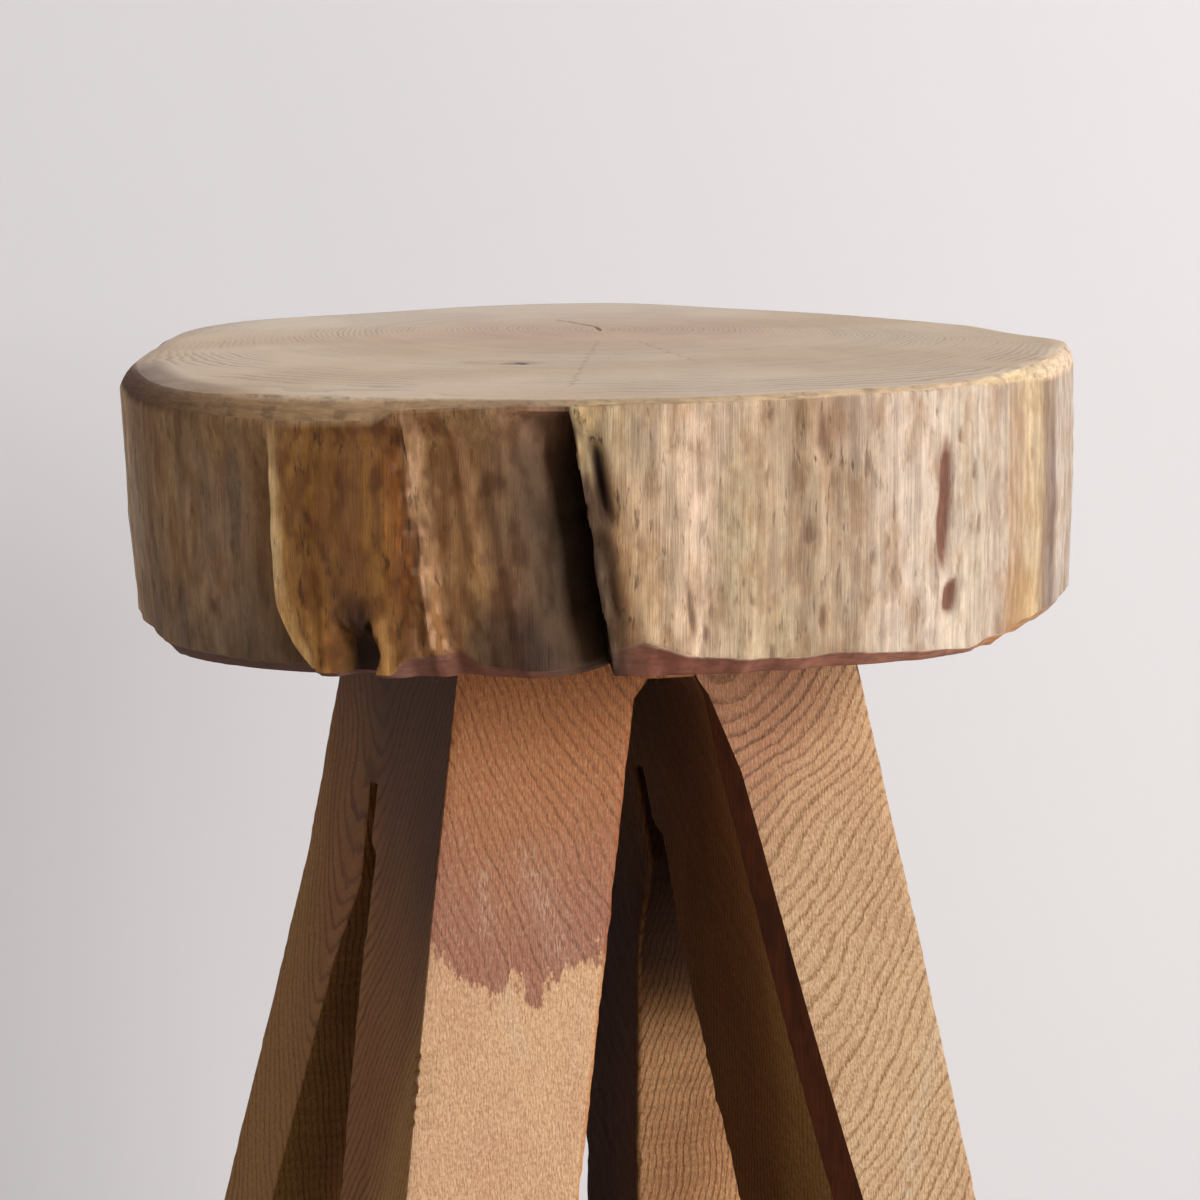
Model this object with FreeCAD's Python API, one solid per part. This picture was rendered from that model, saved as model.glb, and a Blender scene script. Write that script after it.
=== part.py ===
import FreeCAD, Part
import math
import os

# Rustic stool: a thick live-edge slice of trunk on a base sawn from one log block.
# Millimetres, +Z up, front = -Y.  Every piece below is its own closed solid.

V = FreeCAD.Vector

# ---- driving dimensions -------------------------------------------------------------
TOTAL_H = 450.0            # floor to the top of the seat
SEAT_T = 89.0              # thickness of the seat slice
GLIDE_T = 4.0              # plastic glide under each foot
SEAT_Z = TOTAL_H - SEAT_T  # underside of the seat = top of the leg block

# rim of the seat's top face, (radius, angle) going round the trunk
RIM = [
    (151.9, 14), (146.9, 25), (148.0, 42), (155.7, 56.5), (161.7, 65), (155.2, 86),
    (149.6, 104), (156.0, 122), (155.6, 136), (149.6, 150), (151.0, 165), (158.8, 177),
    (165.4, 187),
    (172.0, 196), (175.4, 204), (173.3, 212), (169.0, 219), (161.0, 228), (156.7, 237),
    (155.0, 246), (151.0, 256), (149.6, 266), (148.2, 279), (152.2, 290), (153.4, 302),
    (151.6, 320), (159.5, 344), (161.6, 349), (153.3, 359),
]
TOP_CHAMFER = 6.0          # height of the sawn bevel round the top rim
LOW_CHAMFER = 7.0          # height of the bevel round the bottom rim
BELLY_Z = 0.45             # height of the middle outline, as a share of the thickness

# open split in the front flank: mouth left, root, mouth right (x, y), top then bottom
SPLIT_ROOF = 3.0           # wood left over the top of the split
SPLIT_TOP = [(-90, -152), (-63, -124), (-59, -160)]
SPLIT_LOW = [(-77, -158), (-50, -131), (-45, -166)]

# piece broken out of the bottom rim
CHIP_ANGLE = 221.5
CHIP_W = 9.0
CHIP_H = 15.0
CHIP_DEPTH = 7.0

# outer corners of the leg block (front-left, front-right, back-right, back-left)
BLOCK_TOP = [(-69.5, -61), (65, -66.6), (66, 66), (-66, 66)]
BLOCK_KNEE = [(-86, -77), (83, -82), (82.5, 81), (-79.5, 81)]
BLOCK_FLOOR = [(-127.5, -119), (131, -123), (124, 122), (-134, 122)]
KNEE_Z = 265.0             # height where the flare of the back left corner changes

# front-to-back slot: outline (x, z) in front of the block, inside it and behind it
SLOT_REACH = 150.0
SLOT_MID_Y = 30.0
SLOT_CEILING = 347.0
SLOT_FRONT = [(-78, -20), (-11.5, 341), (-6, SLOT_CEILING), (10, SLOT_CEILING),
              (13.5, 342), (27, 292), (62, 172), (99, -20)]
SLOT_MID = [(-68, -20), (-11, 341), (-6, SLOT_CEILING), (10, SLOT_CEILING),
            (13, 342), (20.5, 292), (31, 172), (46, -20)]
SLOT_BACK = [(-62, -20), (-10.5, 341), (-6, SLOT_CEILING), (10, SLOT_CEILING),
             (12, 342), (17, 292), (29.5, 172), (42, -20)]

# side-to-side slot: a saw kerf that opens into a V, outline (y, z)
CROSS = [(-66, -20), (-6, 240), (-1, 281), (6, 284), (8.5, 303), (16.5, 303),
         (13.5, 284), (11, 270), (27, 238), (47, 156), (72, -20)]

# planed-off corner between the right front leg and the front-to-back slot (z, size)
BEVEL = [(345, 0.6), (315, 5.5), (172, 7.0), (-5, 7.5)]

DOWEL_D = 12.0
DOWEL_L = 60.0
DOWELS = [(-40, -38), (40, -40), (40, 38), (-40, 38)]

SCREW_D = 8.0              # lag screw M8 x 60, up through the web into the seat
SCREW_L = 60.0
SCREW_TIP = 8.0
SCREW_AF = 13.0
SCREW_HEAD = 5.5
WASHER_D = 16.0
WASHER_T = 1.6
SCREWS = [(2, -30), (2, 30)]

GLIDE_D = 24.0
GLIDE_EDGE = 1.2           # rounding of the glide's lower edge
NAIL_D = 2.4
NAIL_L = 18.0
NAIL_HEAD_D = 6.0
NAIL_HEAD_T = 1.2
NAIL_SINK = 1.0            # nail head sits this deep in the glide's well
FEET = [(-102, -91), (110, -93), (94, 92), (-97, 92)]


# ---- small helpers ------------------------------------------------------------------
def polygon(points):
    """Closed wire through 3-D points."""
    return Part.makePolygon(points + [points[0]])


def ruled(wires):
    """Closed solid with straight rulings from wire to wire."""
    return Part.makeLoft(wires, True, True)


def rod(diameter, length, x, y, z):
    return Part.makeCylinder(diameter / 2, length, V(x, y, z))


# ---- seat ---------------------------------------------------------------------------
def flank_swell(angle, height):
    """How far the flank stands outside the top rim (mm) at a share of the thickness.

    The left flank leans in towards the bottom; the others are upright.
    """
    left = max(math.cos(math.radians(angle - 196)), 0)
    back = max(math.cos(math.radians(angle - 60)), 0)
    return 3.0 + left * (3.5 - 6.0 * (1 - height)) + 1.5 * back


def rim_wire(z, flank, inset):
    """Smooth closed outline at height z, on the top rim or on the flank outside it."""
    points = []
    for radius, angle in RIM:
        r = radius - inset
        if flank:
            r += flank_swell(angle, (z - SEAT_Z) / SEAT_T)
        a = math.radians(angle)
        points.append(V(r * math.cos(a), r * math.sin(a), z))
    curve = Part.BSplineCurve()
    curve.interpolate(Points=points, PeriodicFlag=True)
    return Part.Wire([curve.toShape()])


def make_seat():
    layers = [
        rim_wire(SEAT_Z, True, 8.0),
        rim_wire(SEAT_Z + LOW_CHAMFER, True, 1.0),
        rim_wire(SEAT_Z + SEAT_T * BELLY_Z, True, 0.0),
        rim_wire(TOTAL_H - TOP_CHAMFER, True, 0.3),
        rim_wire(TOTAL_H, False, 0.0),
    ]
    slab = ruled(layers)
    split = ruled([
        polygon([V(x, y, SEAT_Z - 1) for x, y in SPLIT_LOW]),
        polygon([V(x, y, TOTAL_H - SPLIT_ROOF) for x, y in SPLIT_TOP]),
    ])
    slab = slab.cut(split)

    chip = Part.makeBox(40, CHIP_W, CHIP_H, V(0, -CHIP_W / 2, -1))
    out = 169.0 - CHIP_DEPTH
    chip.rotate(V(0, 0, 0), V(0, 1, 0), -20)
    chip.translate(V(out, 0, SEAT_Z - 2))
    chip.rotate(V(0, 0, 0), V(0, 0, 1), CHIP_ANGLE)
    return slab.cut(chip)


# ---- leg block ----------------------------------------------------------------------
def block_wire(z, upper, lower, upper_z, lower_z):
    """Outline of the leg block at height z, on the straight flare between two outlines."""
    t = (upper_z - z) / (upper_z - lower_z)
    points = []
    for top, low in zip(upper, lower):
        points.append(V(top[0] + t * (low[0] - top[0]), top[1] + t * (low[1] - top[1]), z))
    return polygon(points)


def wall_x(z):
    """Right wall of the front-to-back slot where it meets the front face."""
    if z > 172:
        return 12.6 + (337 - z) * 0.239
    return 52.0 + (172 - z) * 0.215


def front_y(z):
    """Front face of the right front leg."""
    t = (SEAT_Z - z) / SEAT_Z
    return BLOCK_TOP[1][1] + t * (BLOCK_FLOOR[1][1] - BLOCK_TOP[1][1])


def make_block():
    body = ruled([
        block_wire(GLIDE_T, BLOCK_KNEE, BLOCK_FLOOR, KNEE_Z, 0),
        block_wire(KNEE_Z, BLOCK_KNEE, BLOCK_FLOOR, KNEE_Z, 0),
        block_wire(SEAT_Z, BLOCK_TOP, BLOCK_KNEE, SEAT_Z, KNEE_Z),
    ])
    slot = ruled([
        polygon([V(x, -SLOT_REACH, z) for x, z in SLOT_FRONT]),
        polygon([V(x, SLOT_MID_Y, z) for x, z in SLOT_MID]),
        polygon([V(x, SLOT_REACH, z) for x, z in SLOT_BACK]),
    ])
    cross = ruled([
        polygon([V(-SLOT_REACH, y, z) for y, z in CROSS]),
        polygon([V(SLOT_REACH, y, z) for y, z in CROSS]),
    ])
    wedges = []
    for z, size in BEVEL:
        x = wall_x(z)
        y = front_y(z)
        wedges.append(polygon([V(x - 1, y + size, z), V(x - 1, y - 4, z), V(x + size, y - 4, z),
                               V(x + size, y, z)]))
    bevel = ruled(wedges)
    return body.cut(slot).cut(cross).cut(bevel)


# ---- fixings ------------------------------------------------------------------------
def make_screw(x, y):
    """Lag screw: hexagon head under a washer, plain shank, pointed tip."""
    seat_of_head = SLOT_CEILING - WASHER_T
    corner = SCREW_AF / math.sqrt(3)
    hexagon = []
    for i in range(6):
        a = math.radians(60 * i + 30)
        hexagon.append(V(x + corner * math.cos(a), y + corner * math.sin(a),
                         seat_of_head - SCREW_HEAD))
    head = Part.Face(polygon(hexagon)).extrude(V(0, 0, SCREW_HEAD))
    cap = Part.makeCone(SCREW_AF / 2 - 0.3, corner + 1.2, 2.2, V(x, y, seat_of_head - SCREW_HEAD))
    rest = rod(2 * corner + 2, SCREW_HEAD - 2.2, x, y, seat_of_head - SCREW_HEAD + 2.2)
    head = head.common(cap.fuse(rest))
    shank = rod(SCREW_D, SCREW_L - SCREW_TIP, x, y, seat_of_head)
    tip = Part.makeCone(SCREW_D / 2, 0.6, SCREW_TIP, V(x, y, seat_of_head + SCREW_L - SCREW_TIP))
    return head.fuse(shank).fuse(tip).removeSplitter()


def make_washer(x, y):
    ring = rod(WASHER_D, WASHER_T, x, y, SLOT_CEILING - WASHER_T)
    return ring.cut(rod(SCREW_D, WASHER_T, x, y, SLOT_CEILING - WASHER_T))


def make_dowel(x, y):
    """Birch dowel with both ends chamfered, half in the block and half in the seat."""
    pin = rod(DOWEL_D, DOWEL_L, x, y, SEAT_Z - DOWEL_L / 2)
    return pin.makeChamfer(1.0, [pin.Edges[0], pin.Edges[2]])


def make_glide(x, y):
    """Round plastic glide, rounded underneath, with a well for the nail head."""
    disc = rod(GLIDE_D, GLIDE_T, x, y, 0)
    low = [e for e in disc.Edges if abs(e.BoundBox.ZMax) < 1e-6]
    disc = disc.makeFillet(GLIDE_EDGE, low)
    well = rod(NAIL_HEAD_D + 1.2, NAIL_SINK, x, y, 0)
    head = rod(NAIL_HEAD_D, NAIL_HEAD_T, x, y, NAIL_SINK)
    return disc.cut(well).cut(head).cut(rod(NAIL_D, GLIDE_T, x, y, 0))


def make_nail(x, y):
    head = rod(NAIL_HEAD_D, NAIL_HEAD_T, x, y, NAIL_SINK)
    shank = rod(NAIL_D, NAIL_L - 3, x, y, NAIL_SINK + NAIL_HEAD_T)
    point = Part.makeCone(NAIL_D / 2, 0.2, 3, V(x, y, NAIL_SINK + NAIL_HEAD_T + NAIL_L - 3))
    return head.fuse(shank).fuse(point).removeSplitter()


# ---- build --------------------------------------------------------------------------
nodes = {"seat_slab": make_seat(), "leg_block": make_block()}

for i, (x, y) in enumerate(DOWELS, start=1):
    dowel = make_dowel(x, y)
    hole = rod(DOWEL_D, DOWEL_L, x, y, SEAT_Z - DOWEL_L / 2)
    nodes["seat_slab"] = nodes["seat_slab"].cut(hole)
    nodes["leg_block"] = nodes["leg_block"].cut(hole)
    nodes[f"dowel_{i}"] = dowel

for i, (x, y) in enumerate(SCREWS, start=1):
    screw = make_screw(x, y)
    nodes["seat_slab"] = nodes["seat_slab"].cut(screw)
    nodes["leg_block"] = nodes["leg_block"].cut(rod(SCREW_D, 40, x, y, SLOT_CEILING - 5))
    nodes[f"lag_screw_{i}"] = screw
    nodes[f"washer_{i}"] = make_washer(x, y)

for i, (x, y) in enumerate(FEET, start=1):
    nail = make_nail(x, y)
    nodes["leg_block"] = nodes["leg_block"].cut(nail)
    nodes[f"glide_{i}"] = make_glide(x, y)
    nodes[f"glide_nail_{i}"] = nail

# origin: middle of the whole stool's footprint box, on the floor
box = Part.makeCompound(list(nodes.values())).optimalBoundingBox(False, False)
shift = V(-(box.XMin + box.XMax) / 2, -(box.YMin + box.YMax) / 2, -box.ZMin)
os.makedirs("parts", exist_ok=True)
for name, shape in nodes.items():
    shape.translate(shift)
    shape.exportStep(f"parts/{name}.step")
    print(name, "valid", shape.isValid(), "solids", len(shape.Solids),
          "volume cm3", round(shape.Volume / 1000, 2))
print("shift mm", [round(v, 2) for v in shift])
print("size mm", round(box.XLength, 1), round(box.YLength, 1), round(box.ZLength, 1))
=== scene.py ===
# %% [markdown]
# # A rustic stool in Blender
#
# The stool is two big pieces of wood. The seat is a thick slice of tree trunk that keeps its own
# knobbly flank, and the base is one squared block, sawn crosswise from below into four flaring
# legs. Dowels and lag screws hold the two together, and each foot stands on a nailed-on glide.
# The frame that is loaded here is the measured model of the same stool. Every piece below is
# built in that frame, in metres, so nothing has to be fitted afterwards.

# %% Load the measured frame
import math

import bpy
import numpy as np
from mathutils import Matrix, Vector


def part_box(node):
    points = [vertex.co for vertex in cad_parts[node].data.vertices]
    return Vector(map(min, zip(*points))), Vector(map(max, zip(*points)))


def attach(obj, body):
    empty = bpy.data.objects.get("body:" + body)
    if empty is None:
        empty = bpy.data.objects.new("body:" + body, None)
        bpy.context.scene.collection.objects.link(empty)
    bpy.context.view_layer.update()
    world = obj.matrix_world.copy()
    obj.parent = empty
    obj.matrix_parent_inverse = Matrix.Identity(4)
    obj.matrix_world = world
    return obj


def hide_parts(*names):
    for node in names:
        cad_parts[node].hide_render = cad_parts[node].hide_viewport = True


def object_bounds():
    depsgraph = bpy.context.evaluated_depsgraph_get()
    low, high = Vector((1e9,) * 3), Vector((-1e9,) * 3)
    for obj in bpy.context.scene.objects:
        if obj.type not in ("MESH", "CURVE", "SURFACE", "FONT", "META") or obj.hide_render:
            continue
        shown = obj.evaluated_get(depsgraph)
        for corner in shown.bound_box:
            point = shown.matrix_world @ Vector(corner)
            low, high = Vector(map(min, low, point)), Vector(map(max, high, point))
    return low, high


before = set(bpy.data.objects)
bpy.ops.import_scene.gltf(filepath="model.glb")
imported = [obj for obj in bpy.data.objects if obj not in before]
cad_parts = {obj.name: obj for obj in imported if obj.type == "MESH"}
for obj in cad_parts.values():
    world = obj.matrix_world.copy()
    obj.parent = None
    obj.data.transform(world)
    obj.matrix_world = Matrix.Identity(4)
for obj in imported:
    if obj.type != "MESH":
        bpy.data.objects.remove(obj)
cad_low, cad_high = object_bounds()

MM = 0.001
print("pieces in the frame:", sorted(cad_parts))
print("box in mm:", [round(v / MM, 1) for v in (*cad_low, *cad_high)])

# %% [markdown]
# The trunk that the seat was cut from had its own middle line. The two lag screws stand in a row
# beside it, so their boxes in the frame say where that line is. All the shapes are worked out in
# millimetres round this line, and moved to the frame as the last step.

# %% The trunk's middle line
SCREW_ROW = 2.0  # mm from the trunk's middle line to the row of lag screws

first_low, first_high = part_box("lag_screw_1")
last_low, last_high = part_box("lag_screw_2")
TRUNK_X = (first_low.x + first_high.x) / 2 - SCREW_ROW * MM
TRUNK_Y = (first_low.y + last_high.y) / 2
SEAT_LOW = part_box("seat_slab")[0].z / MM
SEAT_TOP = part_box("seat_slab")[1].z / MM
SEAT_THICK = SEAT_TOP - SEAT_LOW
print("trunk line at", round(TRUNK_X / MM, 2), round(TRUNK_Y / MM, 2))
print("seat from", round(SEAT_LOW, 1), "to", round(SEAT_TOP, 1))


def to_frame(points):
    """Millimetres round the trunk's line -> metres in the frame, kept inside its box."""
    moved = np.asarray(points, float) * MM + np.array([TRUNK_X, TRUNK_Y, 0.0])
    return np.clip(moved, np.array(cad_low), np.array(cad_high))


# %% [markdown]
# Two helpers serve every material. The first turns a colour that a painter would pick (sRGB hex)
# into the linear numbers that Blender mixes light with. The second adds one node with its
# settings and its inputs. An input may be a value, a socket, or a node whose first output is used.
# The kinds of node and the sums that come up most have short names, so that a line of shading
# reads like the sum that it is.

# %% Colour and node helpers
MATH = "ShaderNodeMath"
VECTOR = "ShaderNodeVectorMath"
RANGE = "ShaderNodeMapRange"
TIMES = {"operation": "MULTIPLY"}
TIMES_PLUS = {"operation": "MULTIPLY_ADD"}
MINUS = {"operation": "SUBTRACT"}
PLUS = {"operation": "ADD"}
OVER = {"operation": "DIVIDE"}
SMOOTH = {"interpolation_type": "SMOOTHSTEP"}


def colour(code):
    """sRGB hex such as "c8a27a" -> linear red, green, blue and 1."""
    channels = [int(code[i:i + 2], 16) / 255 for i in (0, 2, 4)]
    linear = [c / 12.92 if c <= 0.04045 else ((c + 0.055) / 1.055) ** 2.4 for c in channels]
    return (*linear, 1.0)


def add(tree, kind, settings=None, inputs=None):
    """Add a node, then set its properties and fill or link its inputs."""
    node = tree.nodes.new(kind)
    for name, value in (settings or {}).items():
        setattr(node, name, value)
    for name, value in (inputs or {}).items():
        if isinstance(value, bpy.types.Node):
            value = value.outputs[0]
        if isinstance(value, bpy.types.NodeSocket):
            tree.links.new(value, node.inputs[name])
        else:
            node.inputs[name].default_value = value
    return node


# %% [markdown]
# Wood is never quite flat or even. This noise gives every point in space a repeatable number from
# -1 to 1 that changes softly over a chosen distance. It is worked out from whole-number
# lattice points, so the stool comes out the same on every run.

# %% Repeatable soft noise for the shapes
def lattice_number(i, j, k, seed):
    """A fixed random number from -1 to 1 for each whole-number lattice point."""
    n = (i * 73856093) ^ (j * 19349663) ^ (k * 83492791) ^ (seed * 40503)
    n = ((n ^ (n >> 13)) * 1274126177) & 0xFFFFFFFF
    n = (n ^ (n >> 16)) & 0xFFFF
    return n / 32767.5 - 1.0


def ripple(points, size, seed):
    """Soft noise from -1 to 1; size is the distance in mm over which it changes, x y z."""
    scaled = np.asarray(points, float) / np.asarray(size, float)
    base = np.floor(scaled).astype(np.int64)
    part = scaled - base
    part = part * part * (3 - 2 * part)
    total = 0.0
    for di in (0, 1):
        for dj in (0, 1):
            for dk in (0, 1):
                weight = np.ones(scaled.shape[:-1])
                for axis, step in enumerate((di, dj, dk)):
                    share = part[..., axis]
                    weight = weight * (share if step else 1 - share)
                corner = lattice_number(base[..., 0] + di, base[..., 1] + dj,
                                        base[..., 2] + dk, seed)
                total = total + weight * corner
    return total


def soft_step(x, low, high):
    """0 below low, 1 above high, and a soft S between."""
    t = np.clip((x - low) / (high - low), 0, 1)
    return t * t * (3 - 2 * t)


def bump_at(x, centre, width):
    """A rounded bump of height 1 at centre."""
    return np.exp(-(((x - centre) / width) ** 2))


# %% [markdown]
# Meshes are built from arrays of points and faces. Attributes are numbers or colours stored on
# the points, which the materials read: they hold what a hand would paint, such as stains, and
# what the shape knows, such as how far out in the trunk a point lies.

# %% Mesh helpers
def make_mesh(name, points, faces, materials, face_slots=None, sharp_degrees=38):
    """A smooth-shaded mesh object with its sharp edges kept."""
    mesh = bpy.data.meshes.new(name)
    mesh.from_pydata(points.tolist(), [], faces)
    for material in materials:
        mesh.materials.append(material)
    if face_slots is not None:
        mesh.polygons.foreach_set("material_index", np.asarray(face_slots, np.int32))
    mesh.shade_smooth()
    mesh.set_sharp_from_angle(angle=math.radians(sharp_degrees))
    mesh.update()
    piece = bpy.data.objects.new(name, mesh)
    bpy.context.scene.collection.objects.link(piece)
    triangles = sum(len(f) - 2 for f in faces)
    print(name, "points", len(points), "triangles", triangles)
    return piece


def paint(piece, name, kind, values):
    """Store one number, colour or vector per point."""
    attribute = piece.data.attributes.new(name, kind, "POINT")
    field = {"FLOAT": "value", "FLOAT_COLOR": "color", "FLOAT_VECTOR": "vector"}[kind]
    attribute.data.foreach_set(field, np.asarray(values, np.float32).ravel())


# %% [markdown]
# ## Wood finishes
#
# All the wood patterns are solid: they fill space like the real grain does, so they carry on
# round corners. Each is a noise stretched to a real size in millimetres and cut between two
# levels, which gives a mask of soft patches.

# %% A solid mask of patches of a real size
def patches(tree, place, size, low, high, detail=2.0, shift=0.0):
    """A 0..1 mask: 0 where the noise is under low and 1 where it is over high."""
    scaled = add(tree, "ShaderNodeMapping", None,
                 {"Vector": place, "Location": (shift, shift, shift),
                  "Scale": [1 / (s * MM) for s in size]})
    noise = add(tree, "ShaderNodeTexNoise", None,
                {"Vector": scaled, "Scale": 1.0, "Detail": detail, "Roughness": 0.6})
    return add(tree, RANGE, SMOOTH, {"Value": noise, "From Min": low, "From Max": high})


def start_material(name):
    """An empty node material with its shader, and the coordinates of the piece."""
    material = bpy.data.materials.new(name)
    material.use_nodes = True
    tree = material.node_tree
    tree.nodes.clear()
    shader = add(tree, "ShaderNodeBsdfPrincipled", None, {"Roughness": 0.7})
    add(tree, "ShaderNodeOutputMaterial", None, {"Surface": shader})
    place = add(tree, "ShaderNodeTexCoord").outputs["Object"]
    return material, tree, shader, place


def stain(tree, base, mask, code, strength):
    """Mix a stain colour over a base colour where the mask says, and give the new colour."""
    amount = add(tree, MATH, TIMES, {0: mask, 1: strength})
    mixed = add(tree, "ShaderNodeMix", {"data_type": "RGBA"},
                {0: amount, 6: base, 7: colour(code)})
    return mixed.outputs[2]


# %% [markdown]
# ### Weathered flank
#
# Under the bark of a dried trunk is bare sapwood with long upright fibres, grey-brown stains
# and small dark marks where the bark clung on. The broad colours are painted on the points, and
# the material adds the fibres, the marks and the pale flecks. It is matt, so the shader is rough.

# %% Flank material
FIBRE_SIZE = (0.6, 0.6, 22.0)
STREAK_SIZE = (2.6, 2.6, 90.0)
MARK_SIZE = (2.2, 2.2, 9.0)
FLECK_SIZE = (3.0, 3.0, 7.0)
BLOOM_SIZE = (7.0, 7.0, 17.0)
PALE = (1.19, 1.18, 1.15, 1.0)    # multiplies the wood where bark fibres left it bright
DULL = (0.78, 0.69, 0.60, 1.0)    # multiplies it where dust has settled in

flank_wood, tree, shader, place = start_material("weathered_sapwood")
tint = add(tree, "ShaderNodeAttribute", {"attribute_name": "tint"}).outputs["Color"]
marked = add(tree, "ShaderNodeAttribute", {"attribute_name": "marked"}).outputs["Fac"]
fibres = patches(tree, place, FIBRE_SIZE, 0.32, 0.68, 3.0)
streaks = patches(tree, place, STREAK_SIZE, 0.38, 0.65, 2.0, 4.0)
marks = patches(tree, place, MARK_SIZE, 0.57, 0.73, 2.0, 9.0)
flecks = patches(tree, place, FLECK_SIZE, 0.42, 0.66, 3.0, 21.0)
blooms = patches(tree, place, BLOOM_SIZE, 0.42, 0.66, 4.0, 14.0)
bright = add(tree, "ShaderNodeMix", {"data_type": "RGBA", "blend_type": "MULTIPLY"},
             {0: flecks, 6: tint, 7: PALE}).outputs[2]
worn = add(tree, "ShaderNodeMix", {"data_type": "RGBA", "blend_type": "MULTIPLY"},
           {0: blooms, 6: bright, 7: DULL}).outputs[2]
worn = stain(tree, worn, streaks, "6b4a3a", 0.30)
worn = stain(tree, worn, fibres, "5b4234", 0.12)
spots = add(tree, MATH, TIMES, {0: marks, 1: marked})
worn = stain(tree, worn, spots, "4a3020", 0.85)
tree.links.new(worn, shader.inputs["Base Color"])
sunk_spots = add(tree, MATH, TIMES, {0: spots, 1: -0.8})
relief = add(tree, MATH, TIMES_PLUS, {0: fibres, 1: -0.6, 2: sunk_spots})
bumped = add(tree, "ShaderNodeBump", None,
             {"Height": relief, "Strength": 0.5, "Distance": 0.25 * MM})
tree.links.new(bumped.outputs[0], shader.inputs["Normal"])
shader.inputs["Roughness"].default_value = 0.75
shader.inputs["Specular IOR Level"].default_value = 0.3
print("material", flank_wood.name)

# %% [markdown]
# ### End grain
#
# The top was sawn across the trunk and sanded, so it shows the growth rings as fine low-contrast
# lines round the pith, broad paler and darker years, and short dotted cracks that run out from
# the pith. How far out a point lies in the tree is stored on the points as "ring", in mm, so the
# rings follow the seat's own lumpy outline towards the rim as they did in the tree. A small knot
# near the front is five soft ovals laid over each other, from its pale collar to its dark heart.

# %% End-grain material
RING_STEP = 1.9     # mm between growth rings in the seat
BAND_STEP = 11.0    # mm over which the wood's colour drifts from year to year
SPECK_SIZE = (0.7, 0.7, 0.7)
PITH = (25.8, 62.8)  # pith of the seat, mm from the trunk's middle line
CHECKS = (           # degrees round the pith, start, end and half width in mm
    (-113.5, 40, 185, 0.9),
    (-95, 44, 112, 0.8),
    (-28, 17, 60, 0.7),
    (-60, 8, 34, 0.6),
)
KNOT_MARKS = (       # centre (mm), half sizes, turn (degrees), colour and strength
    ((-45.0, -32.5), (15.0, 7.0), -20, "9c7858", 0.55),
    ((-46.5, -31.5), (11.0, 4.6), -20, "dcc29c", 0.75),
    ((-52.0, -30.0), (6.0, 2.0), -20, "8a5f4a", 0.25),
    ((-41.5, -36.0), (5.5, 4.2), -20, "7a4f3c", 0.6),
    ((-40.0, -37.0), (2.3, 4.0), 0, "3c2219", 0.95),
)


def radial_check(tree, place, degrees, start, end, half_width):
    """Mask of a thin crack that runs out from the pith between two distances, in mm."""
    turn = math.radians(degrees)
    pith_x = TRUNK_X / MM + PITH[0]
    pith_y = TRUNK_Y / MM + PITH[1]
    shifted = add(tree, VECTOR, TIMES_PLUS,
                  {0: place, 1: (1 / MM, 1 / MM, 1 / MM), 2: (-pith_x, -pith_y, 0)})
    turned = add(tree, "ShaderNodeVectorRotate", {"rotation_type": "Z_AXIS"},
                 {"Vector": shifted, "Angle": -turn})
    axes = add(tree, "ShaderNodeSeparateXYZ", None, {0: turned})
    wobble = add(tree, "ShaderNodeTexNoise", {"noise_dimensions": "1D"},
                 {"W": axes.outputs[0], "Scale": 0.16, "Detail": 3.0})
    line = add(tree, MATH, TIMES_PLUS, {0: wobble, 1: 5.0, 2: axes.outputs[1]})
    line = add(tree, MATH, MINUS, {0: line, 1: 2.5})
    line = add(tree, MATH, {"operation": "ABSOLUTE"}, {0: line})
    thin = add(tree, RANGE, None,
               {"Value": line, "From Min": half_width, "From Max": half_width * 0.4})
    after = add(tree, MATH, {"operation": "GREATER_THAN"}, {0: axes.outputs[0], 1: start})
    before = add(tree, MATH, {"operation": "LESS_THAN"}, {0: axes.outputs[0], 1: end})
    dots = add(tree, "ShaderNodeTexNoise", {"noise_dimensions": "1D"},
               {"W": axes.outputs[0], "Scale": 0.35, "Detail": 1.0})
    dots = add(tree, RANGE, None, {"Value": dots, "From Min": 0.47, "From Max": 0.52})
    span = add(tree, MATH, TIMES, {0: after, 1: before})
    mask = add(tree, MATH, TIMES, {0: thin, 1: dots})
    return add(tree, MATH, TIMES, {0: mask, 1: span})


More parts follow.
